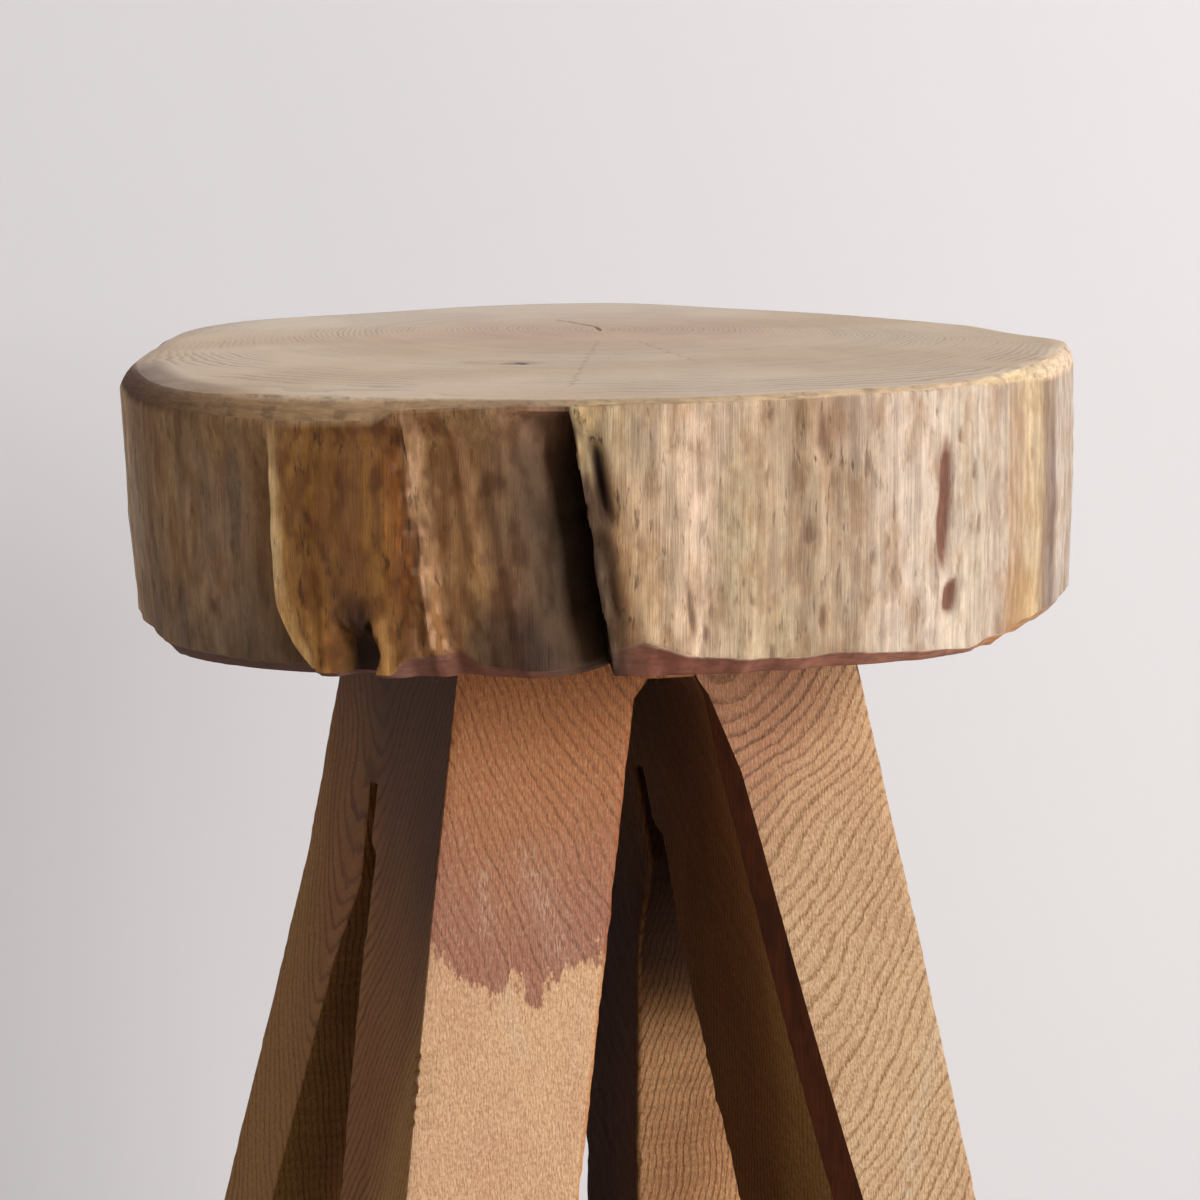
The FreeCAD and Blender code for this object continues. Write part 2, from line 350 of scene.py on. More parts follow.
def end_grain(name, roughness, line_strength):
    """Sawn-across trunk with its rings; a rougher, stronger one serves the underside."""
    material, tree, shader, place = start_material(name)
    tint = add(tree, "ShaderNodeAttribute", {"attribute_name": "tint"}).outputs["Color"]
    ring = add(tree, "ShaderNodeAttribute", {"attribute_name": "ring"}).outputs["Fac"]
    crack = add(tree, "ShaderNodeAttribute", {"attribute_name": "crack"}).outputs["Fac"]
    drift = add(tree, "ShaderNodeTexNoise", None,
                {"Vector": place, "Scale": 1 / (28 * MM), "Detail": 3.0})
    bent = add(tree, MATH, TIMES_PLUS, {0: drift, 1: 5.0, 2: ring})
    years = add(tree, MATH, OVER, {0: bent, 1: RING_STEP})
    in_year = add(tree, MATH, {"operation": "FRACT"}, {0: years})
    which = add(tree, MATH, {"operation": "FLOOR"}, {0: years})
    strength = add(tree, "ShaderNodeTexWhiteNoise", {"noise_dimensions": "1D"}, {"W": which})
    line = add(tree, RANGE, SMOOTH, {"Value": in_year, "From Min": 0.30, "From Max": 0.85})
    strength = add(tree, RANGE, None, {"Value": strength, "To Min": 0.45, "To Max": 1.0})
    line = add(tree, MATH, TIMES, {0: line, 1: strength})
    seen = patches(tree, place, (40, 40, 40), 0.36, 0.56, 1.0, 5.0)
    line = add(tree, MATH, TIMES, {0: line, 1: seen})
    band = add(tree, "ShaderNodeTexNoise", {"noise_dimensions": "1D"},
               {"W": bent, "Scale": 1 / BAND_STEP, "Detail": 2.0})
    band = add(tree, RANGE, None, {"Value": band, "From Min": 0.35, "From Max": 0.7})
    specks = patches(tree, place, SPECK_SIZE, 0.45, 0.75, 2.0)
    cloud = patches(tree, place, (9, 9, 9), 0.35, 0.7, 4.0, 3.0)
    wood = stain(tree, tint, band, "a08468", 0.12)
    wood = stain(tree, wood, line, "6f523a", line_strength)
    wood = stain(tree, wood, specks, "8c6f55", 0.22)
    wood = stain(tree, wood, cloud, "e4d2bd", 0.16)
    for centre, radii, turned, code, strength in KNOT_MARKS:
        offset = add(tree, VECTOR, TIMES_PLUS, {0: place, 1: (1 / MM, 1 / MM, 1 / MM),
                      2: (-TRUNK_X / MM - centre[0], -TRUNK_Y / MM - centre[1], -SEAT_TOP)})
        offset = add(tree, "ShaderNodeVectorRotate", {"rotation_type": "Z_AXIS"},
                     {"Vector": offset, "Angle": math.radians(-turned)})
        offset = add(tree, VECTOR, OVER, {0: offset, 1: (*radii, 9.0)})
        inside = add(tree, VECTOR, {"operation": "LENGTH"}, {0: offset})
        fuzzy = add(tree, MATH, TIMES_PLUS, {0: specks, 1: 0.35, 2: inside.outputs["Value"]})
        mark = add(tree, RANGE, SMOOTH, {"Value": fuzzy, "From Min": 1.25, "From Max": 0.65})
        wood = stain(tree, wood, mark, code, strength)
    for check_place in CHECKS:
        check = radial_check(tree, place, *check_place)
        wood = stain(tree, wood, check, "7a4a3e", 0.45)
    wood = stain(tree, wood, crack, "2a1a12", 0.95)
    tree.links.new(wood, shader.inputs["Base Color"])
    height = add(tree, MATH, TIMES_PLUS, {0: line, 1: -0.5, 2: specks})
    bumped = add(tree, "ShaderNodeBump", None,
                 {"Height": height, "Strength": 0.35, "Distance": 0.15 * MM})
    tree.links.new(bumped.outputs[0], shader.inputs["Normal"])
    shader.inputs["Roughness"].default_value = roughness
    return material


sanded_top = end_grain("sanded_end_grain", 0.5, 0.42)
sawn_underside = end_grain("sawn_end_grain", 0.85, 0.8)
print("materials", sanded_top.name, sawn_underside.name)

# %% [markdown]
# ### Saw-cut chamfers
#
# The rims of the slice were cut back with a saw. The cut is across the fibres at a slant, so
# it drinks in dirt: it is darker and duller than the faces beside it, with small steps left by
# the teeth.

# %% Chamfer material
chamfer_wood, tree, shader, place = start_material("saw_cut_chamfer")
tint = add(tree, "ShaderNodeAttribute", {"attribute_name": "tint"}).outputs["Color"]
smears = patches(tree, place, (9.0, 9.0, 1.6), 0.40, 0.64, 3.0)
grime = patches(tree, place, (5.0, 5.0, 4.0), 0.48, 0.66, 4.0, 7.0)
cut = stain(tree, tint, smears, "5d4333", 0.30)
cut = stain(tree, cut, grime, "46302a", 0.34)
tree.links.new(cut, shader.inputs["Base Color"])
bumped = add(tree, "ShaderNodeBump", None,
             {"Height": smears, "Strength": 0.5, "Distance": 0.25 * MM})
tree.links.new(bumped.outputs[0], shader.inputs["Normal"])
shader.inputs["Roughness"].default_value = 0.8
print("material", chamfer_wood.name)

# %% [markdown]
# ## The seat
#
# The slice keeps the trunk's outline, so its rim is read from the frame: every point on the rim
# of the measured top face gives an angle and a radius round the trunk's line. The mesh is a
# net of columns (angles) and rows (from the pith over the rim, down the flank and in under the
# seat). It suits a trunk because everything on a flank runs up and down: ridges, flutes and the
# open split are all changes of radius along a column.

# %% The rim of the trunk
def read_rim():
    """Angles (degrees, rising) and radii (mm) of the measured top rim."""
    points = np.array([v.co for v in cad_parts["seat_slab"].data.vertices], float) / MM
    points = points[points[:, 2] > SEAT_TOP - 0.01]
    x = points[:, 0] - TRUNK_X / MM
    y = points[:, 1] - TRUNK_Y / MM
    angles = np.degrees(np.arctan2(y, x)) % 360
    radii = np.hypot(x, y)
    order = np.argsort(angles)
    return angles[order], radii[order]


rim_angles, rim_radii = read_rim()
print("rim points", len(rim_angles), "radius", rim_radii.min().round(1),
      "to", rim_radii.max().round(1))


def rim_radius(angle):
    return np.interp(angle % 360, rim_angles, rim_radii, period=360)


def flank_radius(angle, z):
    """Radius of the measured flank before any relief is cut into it."""
    share = (z - SEAT_LOW) / SEAT_THICK
    left = np.maximum(np.cos(np.radians(angle - 196)), 0)
    back = np.maximum(np.cos(np.radians(angle - 60)), 0)
    swell = 3.0 + left * (3.5 - 6.0 * (1 - share)) + 1.5 * back
    inset = np.interp(z - SEAT_LOW, [7, 40, 83], [1.0, 0.0, 0.3])
    return rim_radius(angle) + swell - inset


# %% [markdown]
# The columns are closest together where there is most to see: along the sharp edges of the lobe,
# the split and the strip on the right. Two of those edges lean, so the columns lean with them,
# or a leaning edge would come out as a row of steps.

# %% Columns of the net
LOBE_EDGE = 214.4     # left edge of the front lobe, degrees round the trunk
CHIP = (220.9, 224.4)  # piece broken out of the bottom rim
BARK_RIDGE = 230.05   # ragged lip where the lobe ends
SPLIT_WALL = 249.25   # right wall of the open split
STRIP_EDGE = 309.2    # ridge before the orange strip
SPLIT_LEAN = 5.4      # degrees that the split leans over the seat's thickness
LOBE_KICK = 4.5       # degrees that the lobe's edge swings right at the foot
COLUMNS = 850


def column_density(angle):
    """How many columns a degree of the rim gets, relatively."""
    density = 0.42 + 0.58 * soft_step(angle, 168, 184) * (1 - soft_step(angle, 346, 358))
    for edge in (LOBE_EDGE, *CHIP, BARK_RIDGE, SPLIT_WALL, STRIP_EDGE):
        density = density + 1.3 * bump_at(angle, edge, 1.3)
    return density + 0.8 * bump_at(angle, 103, 9)


fine = np.linspace(0, 360, 36001)
filled = np.concatenate([[0], np.cumsum(column_density(fine[:-1] + 0.005))])
column = np.interp(np.arange(COLUMNS) / COLUMNS * filled[-1], filled, fine)
print("columns", COLUMNS, "finest", np.diff(column).min().round(3), "degrees")


def lean(col, share):
    """The real angle of a column at a share of the seat's thickness."""
    split_zone = soft_step(col, 219, 238) * (1 - soft_step(col, 253, 266))
    lobe_zone = soft_step(col, 207, 213.5) * (1 - soft_step(col, 215.3, 219))
    kick = np.clip((0.3 - share) / 0.3, 0, 1) ** 2
    return col - SPLIT_LEAN * (share - 0.5) * split_zone + LOBE_KICK * kick * lobe_zone


# %% [markdown]
# The relief is everything that time and the axe did to the flank. Each line below is one
# feature: the flat facet on the left that was split away, the lobe with its ragged lip of bark,
# the hollow beside it, the deep split, the flutes of the right lobe, the gouges and the
# strip on the far right. Numbers are millimetres outwards.

# %% Pits and gouges: degrees round, share of height, half width in degrees, half height
PITS = ((270.9, 0.93, 0.5, 0.02), (277.6, 0.86, 0.6, 0.06), (279.5, 0.68, 0.45, 0.04),
        (275.8, 0.51, 0.4, 0.04), (260.3, 0.25, 0.45, 0.08), (268.6, 0.27, 0.4, 0.015),
        (278.0, 0.20, 0.4, 0.05), (262.5, 0.16, 0.4, 0.03), (298.2, 0.80, 0.4, 0.02),
        (300.4, 0.67, 0.35, 0.03), (301.4, 0.47, 0.4, 0.04), (271.5, 0.08, 0.4, 0.03),
        (293.9, 0.90, 0.35, 0.02), (284.6, 0.40, 0.3, 0.03), (205.5, 0.22, 0.6, 0.03),
        (190.5, 0.22, 0.5, 0.03), (193.5, 0.24, 0.4, 0.02), (218.6, 0.57, 0.5, 0.02))
GOUGES = ((295.3, 0.56, 1.15, 0.20), (297.2, 0.22, 1.0, 0.06))
GOUGE_LEAN = 2.0      # degrees that the gouges lean over the seat's thickness
CREVICE = (SPLIT_WALL + 2.3, 0.71, 0.7, 0.14)


def spot_mask(col, share, spots):
    """1 in the middle of each spot, and 0 outside them all."""
    mask = np.zeros(np.shape(col))
    for where, height, half_width, half_height in spots:
        tall = np.exp(-((np.asarray(share) - height) / half_height) ** 4)
        mask = np.maximum(mask, bump_at(col, where, half_width) * tall)
    return mask


print("pits", len(PITS), "gouges", len(GOUGES))

# %% [markdown]
# The relief itself, from left to right as one walks round the front. Each feature is switched
# on between two columns and fades out over a few degrees or a share of the height, as a real
# hollow does. A noise added to the column or to the height makes an edge ragged.

# %% Relief of the flank
CHIP_DEPTH = 9.0      # mm
CHIP_HEIGHT = 0.19    # share of the seat's thickness
HOLLOW_DEPTH = 5.0    # mm
SPLIT_DEPTH = 26.0    # mm


def flank_relief(col, share, points):
    """How far the flank stands out from the measured surface, mm."""
    out = np.zeros(col.shape)
    rough = ripple(points, (5, 5, 9), 3)
    fine_rough = ripple(points, (2.4, 2.4, 5), 4)
    upper_fade = 1 - soft_step(share, 0.80, 0.97)
    # the facet that was split away left of the lobe
    facet = (col > 178) & (col < LOBE_EDGE)
    facet_fade = 1 - soft_step(share, 0.70, 0.91)
    out -= facet * 3.6 * soft_step(col, 195, LOBE_EDGE) * facet_fade
    out -= 1.1 * bump_at(col, 189, 1.3) * upper_fade
    # the lobe swells between its left edge and the bark ridge
    lobe = (col >= LOBE_EDGE) & (col < BARK_RIDGE)
    across = np.clip((col - LOBE_EDGE) / (BARK_RIDGE - LOBE_EDGE), 0, 1)
    out += lobe * (1.1 * np.sin(np.pi * across) + 0.5 * rough)
    out -= lobe * 2.2 * bump_at(share, 0.86, 0.035) * soft_step(across, 0.1, 0.3)
    # broken-out chip at the foot of the lobe
    broken = col + 0.5 * ripple(points, (3, 3, 3), 5)
    chip = soft_step(broken, CHIP[0] - 0.4, CHIP[0] + 0.2)
    chip = chip * (1 - soft_step(broken, CHIP[1] - 0.2, CHIP[1] + 0.4))
    chip_top = CHIP_HEIGHT + 0.05 * ripple(points, (2.5, 2.5, 50), 6)
    out -= CHIP_DEPTH * chip * (1 - soft_step(share, chip_top - 0.05, chip_top + 0.02))
    beside_chip = bump_at(col, CHIP[0] - 1.2, 0.5) + bump_at(col, CHIP[1] + 1.0, 0.5)
    out += 0.9 * beside_chip * (1 - soft_step(share, 0.2, 0.3))
    # ragged bark lip, then the hollow down to the split
    lip = col + 0.55 * ripple(points, (5, 5, 8), 9) + 0.25 * ripple(points, (2, 2, 3), 10)
    out += (1.2 + 1.3 * rough) * bump_at(lip, BARK_RIDGE - 0.2, 0.75) * upper_fade
    hollow = (lip > BARK_RIDGE) & (col < SPLIT_WALL)
    out -= hollow * HOLLOW_DEPTH * soft_step(lip, BARK_RIDGE, BARK_RIDGE + 1.6) * upper_fade
    out += 1.6 * bump_at(col, 235.6, 0.8) * soft_step(share, 0.3, 0.45) * upper_fade
    out += 1.0 * bump_at(col, 239.0, 0.9) * (1 - soft_step(share, 0.5, 0.8))
    # the open split, roofed over by the last few millimetres of wood under the top
    torn = col + 0.45 * ripple(points, (60, 60, 11), 61) + 0.22 * ripple(points, (60, 60, 4), 62)
    depth = np.clip((torn - (SPLIT_WALL - 9)) / 9, 0, 1) ** 1.6
    roofed = 1 - soft_step(share, 0.925, 0.965)
    out -= (torn < SPLIT_WALL) * SPLIT_DEPTH * depth * roofed
    rounding = np.clip(1 - (torn - SPLIT_WALL) / 5, 0, 1) ** 2
    out -= (torn >= SPLIT_WALL) * (3.0 + 1.4 * fine_rough) * rounding * roofed
    out += 1.5 * bump_at(col, SPLIT_WALL + 2.6, 1.0) * bump_at(share, 0.50, 0.045)
    out += 1.6 * bump_at(col, SPLIT_WALL + 0.8, 1.4) * bump_at(share, 0.93, 0.06)
    out -= 4.2 * spot_mask(col, share, (CREVICE,))
    out -= 2.0 * bump_at(col, SPLIT_WALL + 1.4, 0.6) * bump_at(share, 0.34, 0.12)
    # right lobe: low flutes, two gouges and a few pits
    right = soft_step(col, 252, 258) * (1 - soft_step(col, 306, 309))
    out += right * (0.55 * np.cos(np.radians(col) * 43) + 0.7 * rough)
    out -= 2.0 * spot_mask(col + GOUGE_LEAN * (0.5 - share), share, GOUGES)
    out -= 0.6 * spot_mask(col + 0.3 * rough, share, PITS)
    # ridge, then the orange and purple strips at the far right
    out += 1.0 * bump_at(col, STRIP_EDGE - 0.9, 0.9)
    strip = (col > STRIP_EDGE) * (1 - soft_step(col, 317, 320))
    out -= 1.6 * strip
    out -= 0.7 * bump_at(col, 326.5, 2.2)
    # the unseen side: wide soft flutes and shallow hollows
    rear = soft_step(col, 343, 352) + (1 - soft_step(col, 168, 178))
    rear = np.clip(rear, 0, 1)
    out += rear * (1.5 * np.cos(np.radians(col) * 17) + 0.8 * np.cos(np.radians(col) * 41 + 1))
    out += rear * 1.4 * (rough - 1)
    # fibres and mottling everywhere
    out += 0.17 * ripple(points, (2.2, 2.2, 30), 7) + 0.26 * ripple(points, (4, 4, 8), 8)
    out += 0.16 * fine_rough
    return out


# %% [markdown]
# The rows run from the pith to the rim over the top, down the top chamfer, the flank and the low
# chamfer, and back in under the seat. Near the pith the rings of the net are true circles a
# millimetre apart, so that the drying crack there can be real geometry and not a painted line.

# %% Rows of the net
def by_angle(col, table):
    """A value that changes round the trunk, from (degrees, value) pairs."""
    angles, values = zip(*table)
    return np.interp(col % 360, angles, values, period=360)


TOP_CHAMFER = ((0, 5), (150, 5), (188, 9), (205, 10), (226, 10), (229, 5), (244, 2.2),
               (300, 2.2), (310, 4), (330, 8), (340, 8), (352, 5))
LOW_CHAMFER = ((0, 6), (176, 7), (186, 8), (196, 4), (213, 3.5), (216, 1.5), (226, 1.5),
               (227.5, 8), (232, 9), (234, 4), (246, 2.5), (249, 3), (249.5, 9), (253, 13),
               (258, 9), (262, 6), (280, 5.5), (300, 2.5), (318, 6), (350, 6))
TOP_INNER_RINGS = 14
TOP_INNER_STEP = 0.9
WORN_RIM = 0.962     # share of the way out where the rim begins to be worn
CHAMFER_ROWS = 4
FLANK_ROWS = 64
LOW_ROWS = 7
UNDER_ROWS = 4
SAW_PITCH = 3.8      # mm between the steps left by the saw on the low chamfer
SAW_STEP = 0.45      # mm, height of those steps
RIM_MIDDLE = 165     # mm, the trunk's usual radius, which turns degrees into mm

angle_top = lean(column, np.full(COLUMNS, 1.0))
rim_x = rim_radius(angle_top) * np.cos(np.radians(angle_top))
rim_y = rim_radius(angle_top) * np.sin(np.radians(angle_top))
rows = []
zones = []      # 0 top, 1 top chamfer, 2 flank, 3 low chamfer, 4 underside


def add_row(points, zone):
    rows.append(points)
    zones.append(zone)


reach_x = rim_x - PITH[0]
reach_y = rim_y - PITH[1]
reach = np.hypot(reach_x, reach_y)
inner_edge = TOP_INNER_RINGS * TOP_INNER_STEP
steps_out = list(np.linspace(0, 0.42, 11)[1:]) + list(np.linspace(0.42, 1, 9)[1:-1])
steps_out += [WORN_RIM, 1.0]
distances = [np.full(COLUMNS, (k + 1) * TOP_INNER_STEP) for k in range(TOP_INNER_RINGS)]
distances += [inner_edge + (reach - inner_edge) * u for u in steps_out]
for distance in distances:
    share = distance / reach
    add_row(np.stack([PITH[0] + reach_x * share, PITH[1] + reach_y * share,
                      np.full(COLUMNS, SEAT_TOP)], 1), 0)


def side_point(col, z, radius):
    angle = np.radians(lean(col, (z - SEAT_LOW) / SEAT_THICK))
    return np.stack([radius * np.cos(angle), radius * np.sin(angle), z], 1)


def side_radius(col, z):
    """Measured radius plus relief at this height."""
    share = (z - SEAT_LOW) / SEAT_THICK
    angle = lean(col, share)
    measured = flank_radius(angle, z)
    return measured + flank_relief(col, share, side_point(col, z, measured))


top_cut = by_angle(column, TOP_CHAMFER) * (1 + 0.12 * ripple(
    np.stack([column, column * 0, column * 0], 1), (9, 1, 1), 11))
low_cut = by_angle(column, LOW_CHAMFER) * (1 + 0.15 * ripple(
    np.stack([column, column * 0, column * 0], 1), (6, 1, 1), 12))
flank_top_z = SEAT_TOP - top_cut
flank_low_z = SEAT_LOW + low_cut
for k in range(1, CHAMFER_ROWS):
    t = k / CHAMFER_ROWS
    z = SEAT_TOP - top_cut * t
    round_over = 0.25 * top_cut * math.sin(math.pi * t) * 0.5
    radius = rim_radius(angle_top) * (1 - t) + side_radius(column, flank_top_z) * t + round_over
    add_row(side_point(column, z, radius), 1)
for k in range(FLANK_ROWS + 1):
    z = flank_top_z + (flank_low_z - flank_top_z) * (k / FLANK_ROWS)
    add_row(side_point(column, z, side_radius(column, z)), 2)
for k in range(1, LOW_ROWS + 1):
    t = k / LOW_ROWS
    z = flank_low_z + (SEAT_LOW - flank_low_z) * t
    teeth = SAW_STEP * np.sin(np.radians(column) * RIM_MIDDLE / SAW_PITCH + 3 * t)
    inset = np.clip(low_cut * 1.15, 3.0, 8.0) * t
    radius = side_radius(column, z) - inset + teeth * math.sin(math.pi * min(t + 0.15, 1))
    add_row(side_point(column, z, radius), 3)
edge = rows[-1]
for k in range(1, UNDER_ROWS + 1):
    shrink = 1 - k / (UNDER_ROWS + 1)
    smooth = rim_radius(column) * 0.94
    radius = np.where(k == 1, np.minimum(np.hypot(edge[:, 0], edge[:, 1]), smooth) * 0.9,
                      smooth * shrink)
    add_row(side_point(column, np.full(COLUMNS, SEAT_LOW), radius), 4)
print("rows", len(rows))


# %% [markdown]
# The drying crack at the pith is a short broken line. Points of the net that lie close to it are
# pushed down, deepest in the middle of the crack. The same closeness is stored for the material,
# which darkens the crack. The rim at the left end is worn lower than the rest.

# %% Drying crack and worn rim on the top
CRACK = ((18.6, 100.1), (23.2, 86.7), (25.0, 70.0), (21.7, 56.7), (30.2, 57.4))
CRACK_HALF = 0.5     # mm
CRACK_DEPTH = 2.2    # mm
RIM_WEAR = 1.3       # mm
SANDING = 0.25       # mm, hollows left by the sander


def distance_to_line(x, y, line):
    """Distance from each point to a broken line, mm."""
    best = np.full(np.shape(x), 1e9)
    for (ax, ay), (bx, by) in zip(line, line[1:]):
        length = (bx - ax) ** 2 + (by - ay) ** 2
        t = np.clip(((x - ax) * (bx - ax) + (y - ay) * (by - ay)) / length, 0, 1)
        best = np.minimum(best, np.hypot(x - ax - t * (bx - ax), y - ay - t * (by - ay)))
    return best


points = np.concatenate([np.array([[PITH[0], PITH[1], SEAT_TOP]]), *rows,
                         np.array([[0.0, 0.0, SEAT_LOW]])])
zone = np.concatenate([[0], np.repeat(zones, COLUMNS), [4]])
on_top = zone == 0
wander = 0.5 * ripple(points, (4, 4, 4), 15)
near_crack = distance_to_line(points[:, 0] + wander, points[:, 1], CRACK)
end_fade = 1 - soft_step(points[:, 1], 92, 102)
half = CRACK_HALF * (0.35 + 0.65 * end_fade)
crack = np.where(on_top, np.clip(1.25 - near_crack / half, 0, 1), 0)
points[:, 2] -= CRACK_DEPTH * crack * on_top
worn_side = soft_step(column, 172, 184) * (1 - soft_step(column, 204, 214))
rim_row = slice(1 + (len(distances) - 1) * COLUMNS, 1 + len(distances) * COLUMNS)
worn_row = slice(rim_row.start - COLUMNS, rim_row.start)
points[rim_row, 2] -= RIM_WEAR * worn_side
points[:, 2] -= np.where(on_top, SANDING * (1 + ripple(points, (40, 40, 40), 16)), 0)
print("points in the crack", int((crack > 0).sum()))

# %% [markdown]
# The seat is painted from a tray of named colours: pale sapwoods, the honey and umber of the lobe
# and the reds of the sawn foot, with dark painted shade in the hollow, the split and the broken
# chip. Going round the flank, each pair is an angle and the colour painted there, for the foot,
# the middle and the head of the flank. The chamfers have their own, darker, colours.

# %% Wood colours round the seat
# The darkest colours of the tray are painted shade, for the hollow, the split, the broken chip and
# beside the lobe's foot.
WOOD = {
    "bleached": "f3e3cb", "cream": "f0d2ae", "fawn": "d6b896", "pale sap": "dec2a8",
    "dry sap": "d4c0ae", "grey sap": "c8b8a4", "tan": "c8b290", "wheat": "b8a084",
    "dusty": "b8a594", "driftwood": "b4967a", "split": "b89770", "grey": "bcaea0",
    "low grey": "b3a497", "old tan": "a68a6e", "smoked": "9a856d", "plum grey": "80706a",
    "stone": "ae9984", "straw": "d9c196", "dull straw": "c3a87e", "buff": "b08e66",
    "gilt": "c49a66", "pale lip": "f3d29c", "gold lip": "f2c480", "honey": "bb8a4e",
    "ochre": "bf863d", "umber": "94662e", "bark": "84582c", "amber": "a06226",
    "hollow": "ac8254", "pale hollow": "ae876a", "nut": "9b7850", "shade": "846244",
    "dark shade": "69523a", "deep": "5a4836", "foot shade": "4a3322", "darker foot shade": "3a2a1e",
    "chip shade": "2a180e", "grime": "624128", "red brown": "785348", "dull red": "64463e",
    "rust": "85503c", "brick": "915744", "raw red": "a06a54", "orange": "cc935c",
}
# In these tables, the dark stops from the hollow through the split, in the chip and just left of
# the lobe's foot are painted shade.
FLANK_HIGH = ((0, "driftwood"), (150, "tan"), (178, "bleached"), (184, "cream"),
              (190, "driftwood"), (200, "split"), (213, "nut"), (214.6, "gilt"), (218, "umber"),
              (226, "bark"), (229, "bark"), (230.4, "nut"), (233, "hollow"), (239, "nut"),
              (244, "pale hollow"), (247, "pale hollow"), (249.1, "dark shade"), (249.6, "straw"),
              (252, "dull straw"), (254, "tan"), (262, "pale sap"), (270, "wheat"),
              (278, "old tan"), (290, "dry sap"), (300, "grey sap"), (308, "dusty"),
              (310, "stone"), (319, "tan"), (324, "smoked"), (328, "smoked"), (331, "grey"),
              (345, "grey"))
FLANK_MID = ((0, "driftwood"), (150, "tan"), (178, "bleached"), (186, "cream"),
             (192, "driftwood"), (200, "split"), (208, "old tan"), (213.8, "nut"),
             (214.6, "pale lip"), (216, "honey"), (219, "umber"), (223, "bark"), (226, "umber"),
             (228.6, "amber"), (230.3, "nut"), (232, "hollow"), (235.8, "hollow"),
             (238, "shade"), (242, "dark shade"), (245, "deep"), (249.1, "deep"), (249.6, "deep"),
             (251.2, "dark shade"), (252.6, "buff"), (256, "fawn"), (262, "pale sap"), (266, "tan"),
             (272, "wheat"), (280, "wheat"), (290, "dry sap"), (300, "grey sap"),
             (308, "dusty"), (310, "driftwood"), (316, "wheat"), (320, "tan"), (324, "smoked"),
             (328.5, "plum grey"), (331, "grey"), (345, "grey"))
FLANK_FOOT = ((0, "old tan"), (150, "wheat"), (178, "bleached"), (184, "fawn"),
              (192, "old tan"), (205, "smoked"), (213.8, "dark shade"), (214.6, "gold lip"),
              (217, "honey"), (220, "ochre"), (221.6, "chip shade"), (223.8, "chip shade"), (225, "honey"),
              (228, "bark"), (231, "bark"), (234, "dark shade"), (238, "foot shade"), (242, "darker foot shade"),
              (246, "dark shade"), (249.1, "deep"), (249.8, "deep"), (252, "shade"), (256, "fawn"),
              (262, "pale sap"), (270, "tan"), (280, "wheat"), (290, "dry sap"),
              (300, "grey sap"), (307, "dusty"), (310, "buff"), (316, "buff"),
              (320, "dull straw"), (324, "smoked"), (329, "plum grey"), (333, "low grey"),
              (345, "low grey"))
TOP_CUT = ((0, "wheat"), (150, "shade"), (178, "grime"), (190, "grime"), (215, "buff"),
           (232, "split"), (244, "old tan"), (252, "dull straw"), (300, "fawn"),
           (312, "straw"), (340, "pale sap"))
LOW_CUT = ((0, "red brown"), (178, "red brown"), (215, "dull red"), (235, "rust"),
           (249, "darker foot shade"), (254, "brick"), (262, "brick"), (300, "raw red"),
           (312, "orange"), (330, "pale hollow"))


def ring_colour(col, table):
    """Linear colour round the trunk from (degrees, colour name) pairs."""
    angles = [a for a, _ in table]
    shades = np.array([colour(WOOD[name])[:3] for _, name in table])
    return np.stack([np.interp(col % 360, angles, shades[:, c], period=360)
                     for c in range(3)], 1)


print("wood colours", len(WOOD))

# %% [markdown]
# The three belts of the flank run softly into each other. Over them go what rain and bark left:
# grey streaks on the split facet, damp blotches on the lobe and in the hollow, pale flaky bits
# along the bark lip, and dark pits and gouges. Each takes away a share of red, green and blue, or
# covers the wood with its own colour.

# %% Painted colours of the flank
GREY_LOSS = (0.34, 0.27, 0.14)    # share of red, green and blue lost in the facet's streaks
DAMP_LOSS = (0.38, 0.46, 0.52)    # and in the damp blotches of the lobe and the hollow

all_columns = np.concatenate([[0], np.tile(column, len(rows)), [0]])
share = (points[:, 2] - SEAT_LOW) / SEAT_THICK
blotch = ripple(points, (14, 14, 26), 31)
shaken_share = np.clip(share + 0.12 * ripple(points, (9, 9, 18), 32), 0, 1)
shaken_col = all_columns + 0.35 * ripple(points, (3, 3, 8), 33)
low = ring_colour(shaken_col, FLANK_FOOT)
mid = ring_colour(shaken_col, FLANK_MID)
high = ring_colour(shaken_col, FLANK_HIGH)
to_mid = soft_step(shaken_share, 0.08, 0.36)[:, None]
to_high = soft_step(shaken_share, 0.62, 0.92)[:, None]
flank_shade = (low * (1 - to_mid) + mid * to_mid) * (1 - to_high) + high * to_high
flank_shade = flank_shade * (1 + 0.10 * blotch[:, None])
# grey streaks down the split facet
on_facet = soft_step(all_columns, 176, 182) * (1 - soft_step(all_columns, 213, 214.3))
greyed = soft_step(ripple(points, (4.5, 4.5, 70), 54) + 0.5 * blotch, -0.3, 0.7) * on_facet
flank_shade = flank_shade * (1 - greyed[:, None] * np.array(GREY_LOSS))
# damp blotches, from the lobe to the split
damp = ripple(points, (4, 4, 8), 51) + 0.6 * ripple(points, (2, 2, 3.5), 52)
damp = soft_step(damp, -0.1, 0.6) * soft_step(all_columns, 215, 216.5)
damp = (damp * (1 - soft_step(all_columns, 243, 247)))[:, None]
flank_shade = flank_shade * (1 - damp * np.array(DAMP_LOSS))
# flaky bits of bark along the lip
flaky = soft_step(ripple(points, (2.0, 2.0, 4.0), 53), 0.15, 0.6) * bump_at(shaken_col, 230, 1.7)
flaky = 0.6 * flaky[:, None]
flank_shade = flank_shade * (1 - flaky) + np.array(colour("d8ab88")[:3]) * flaky
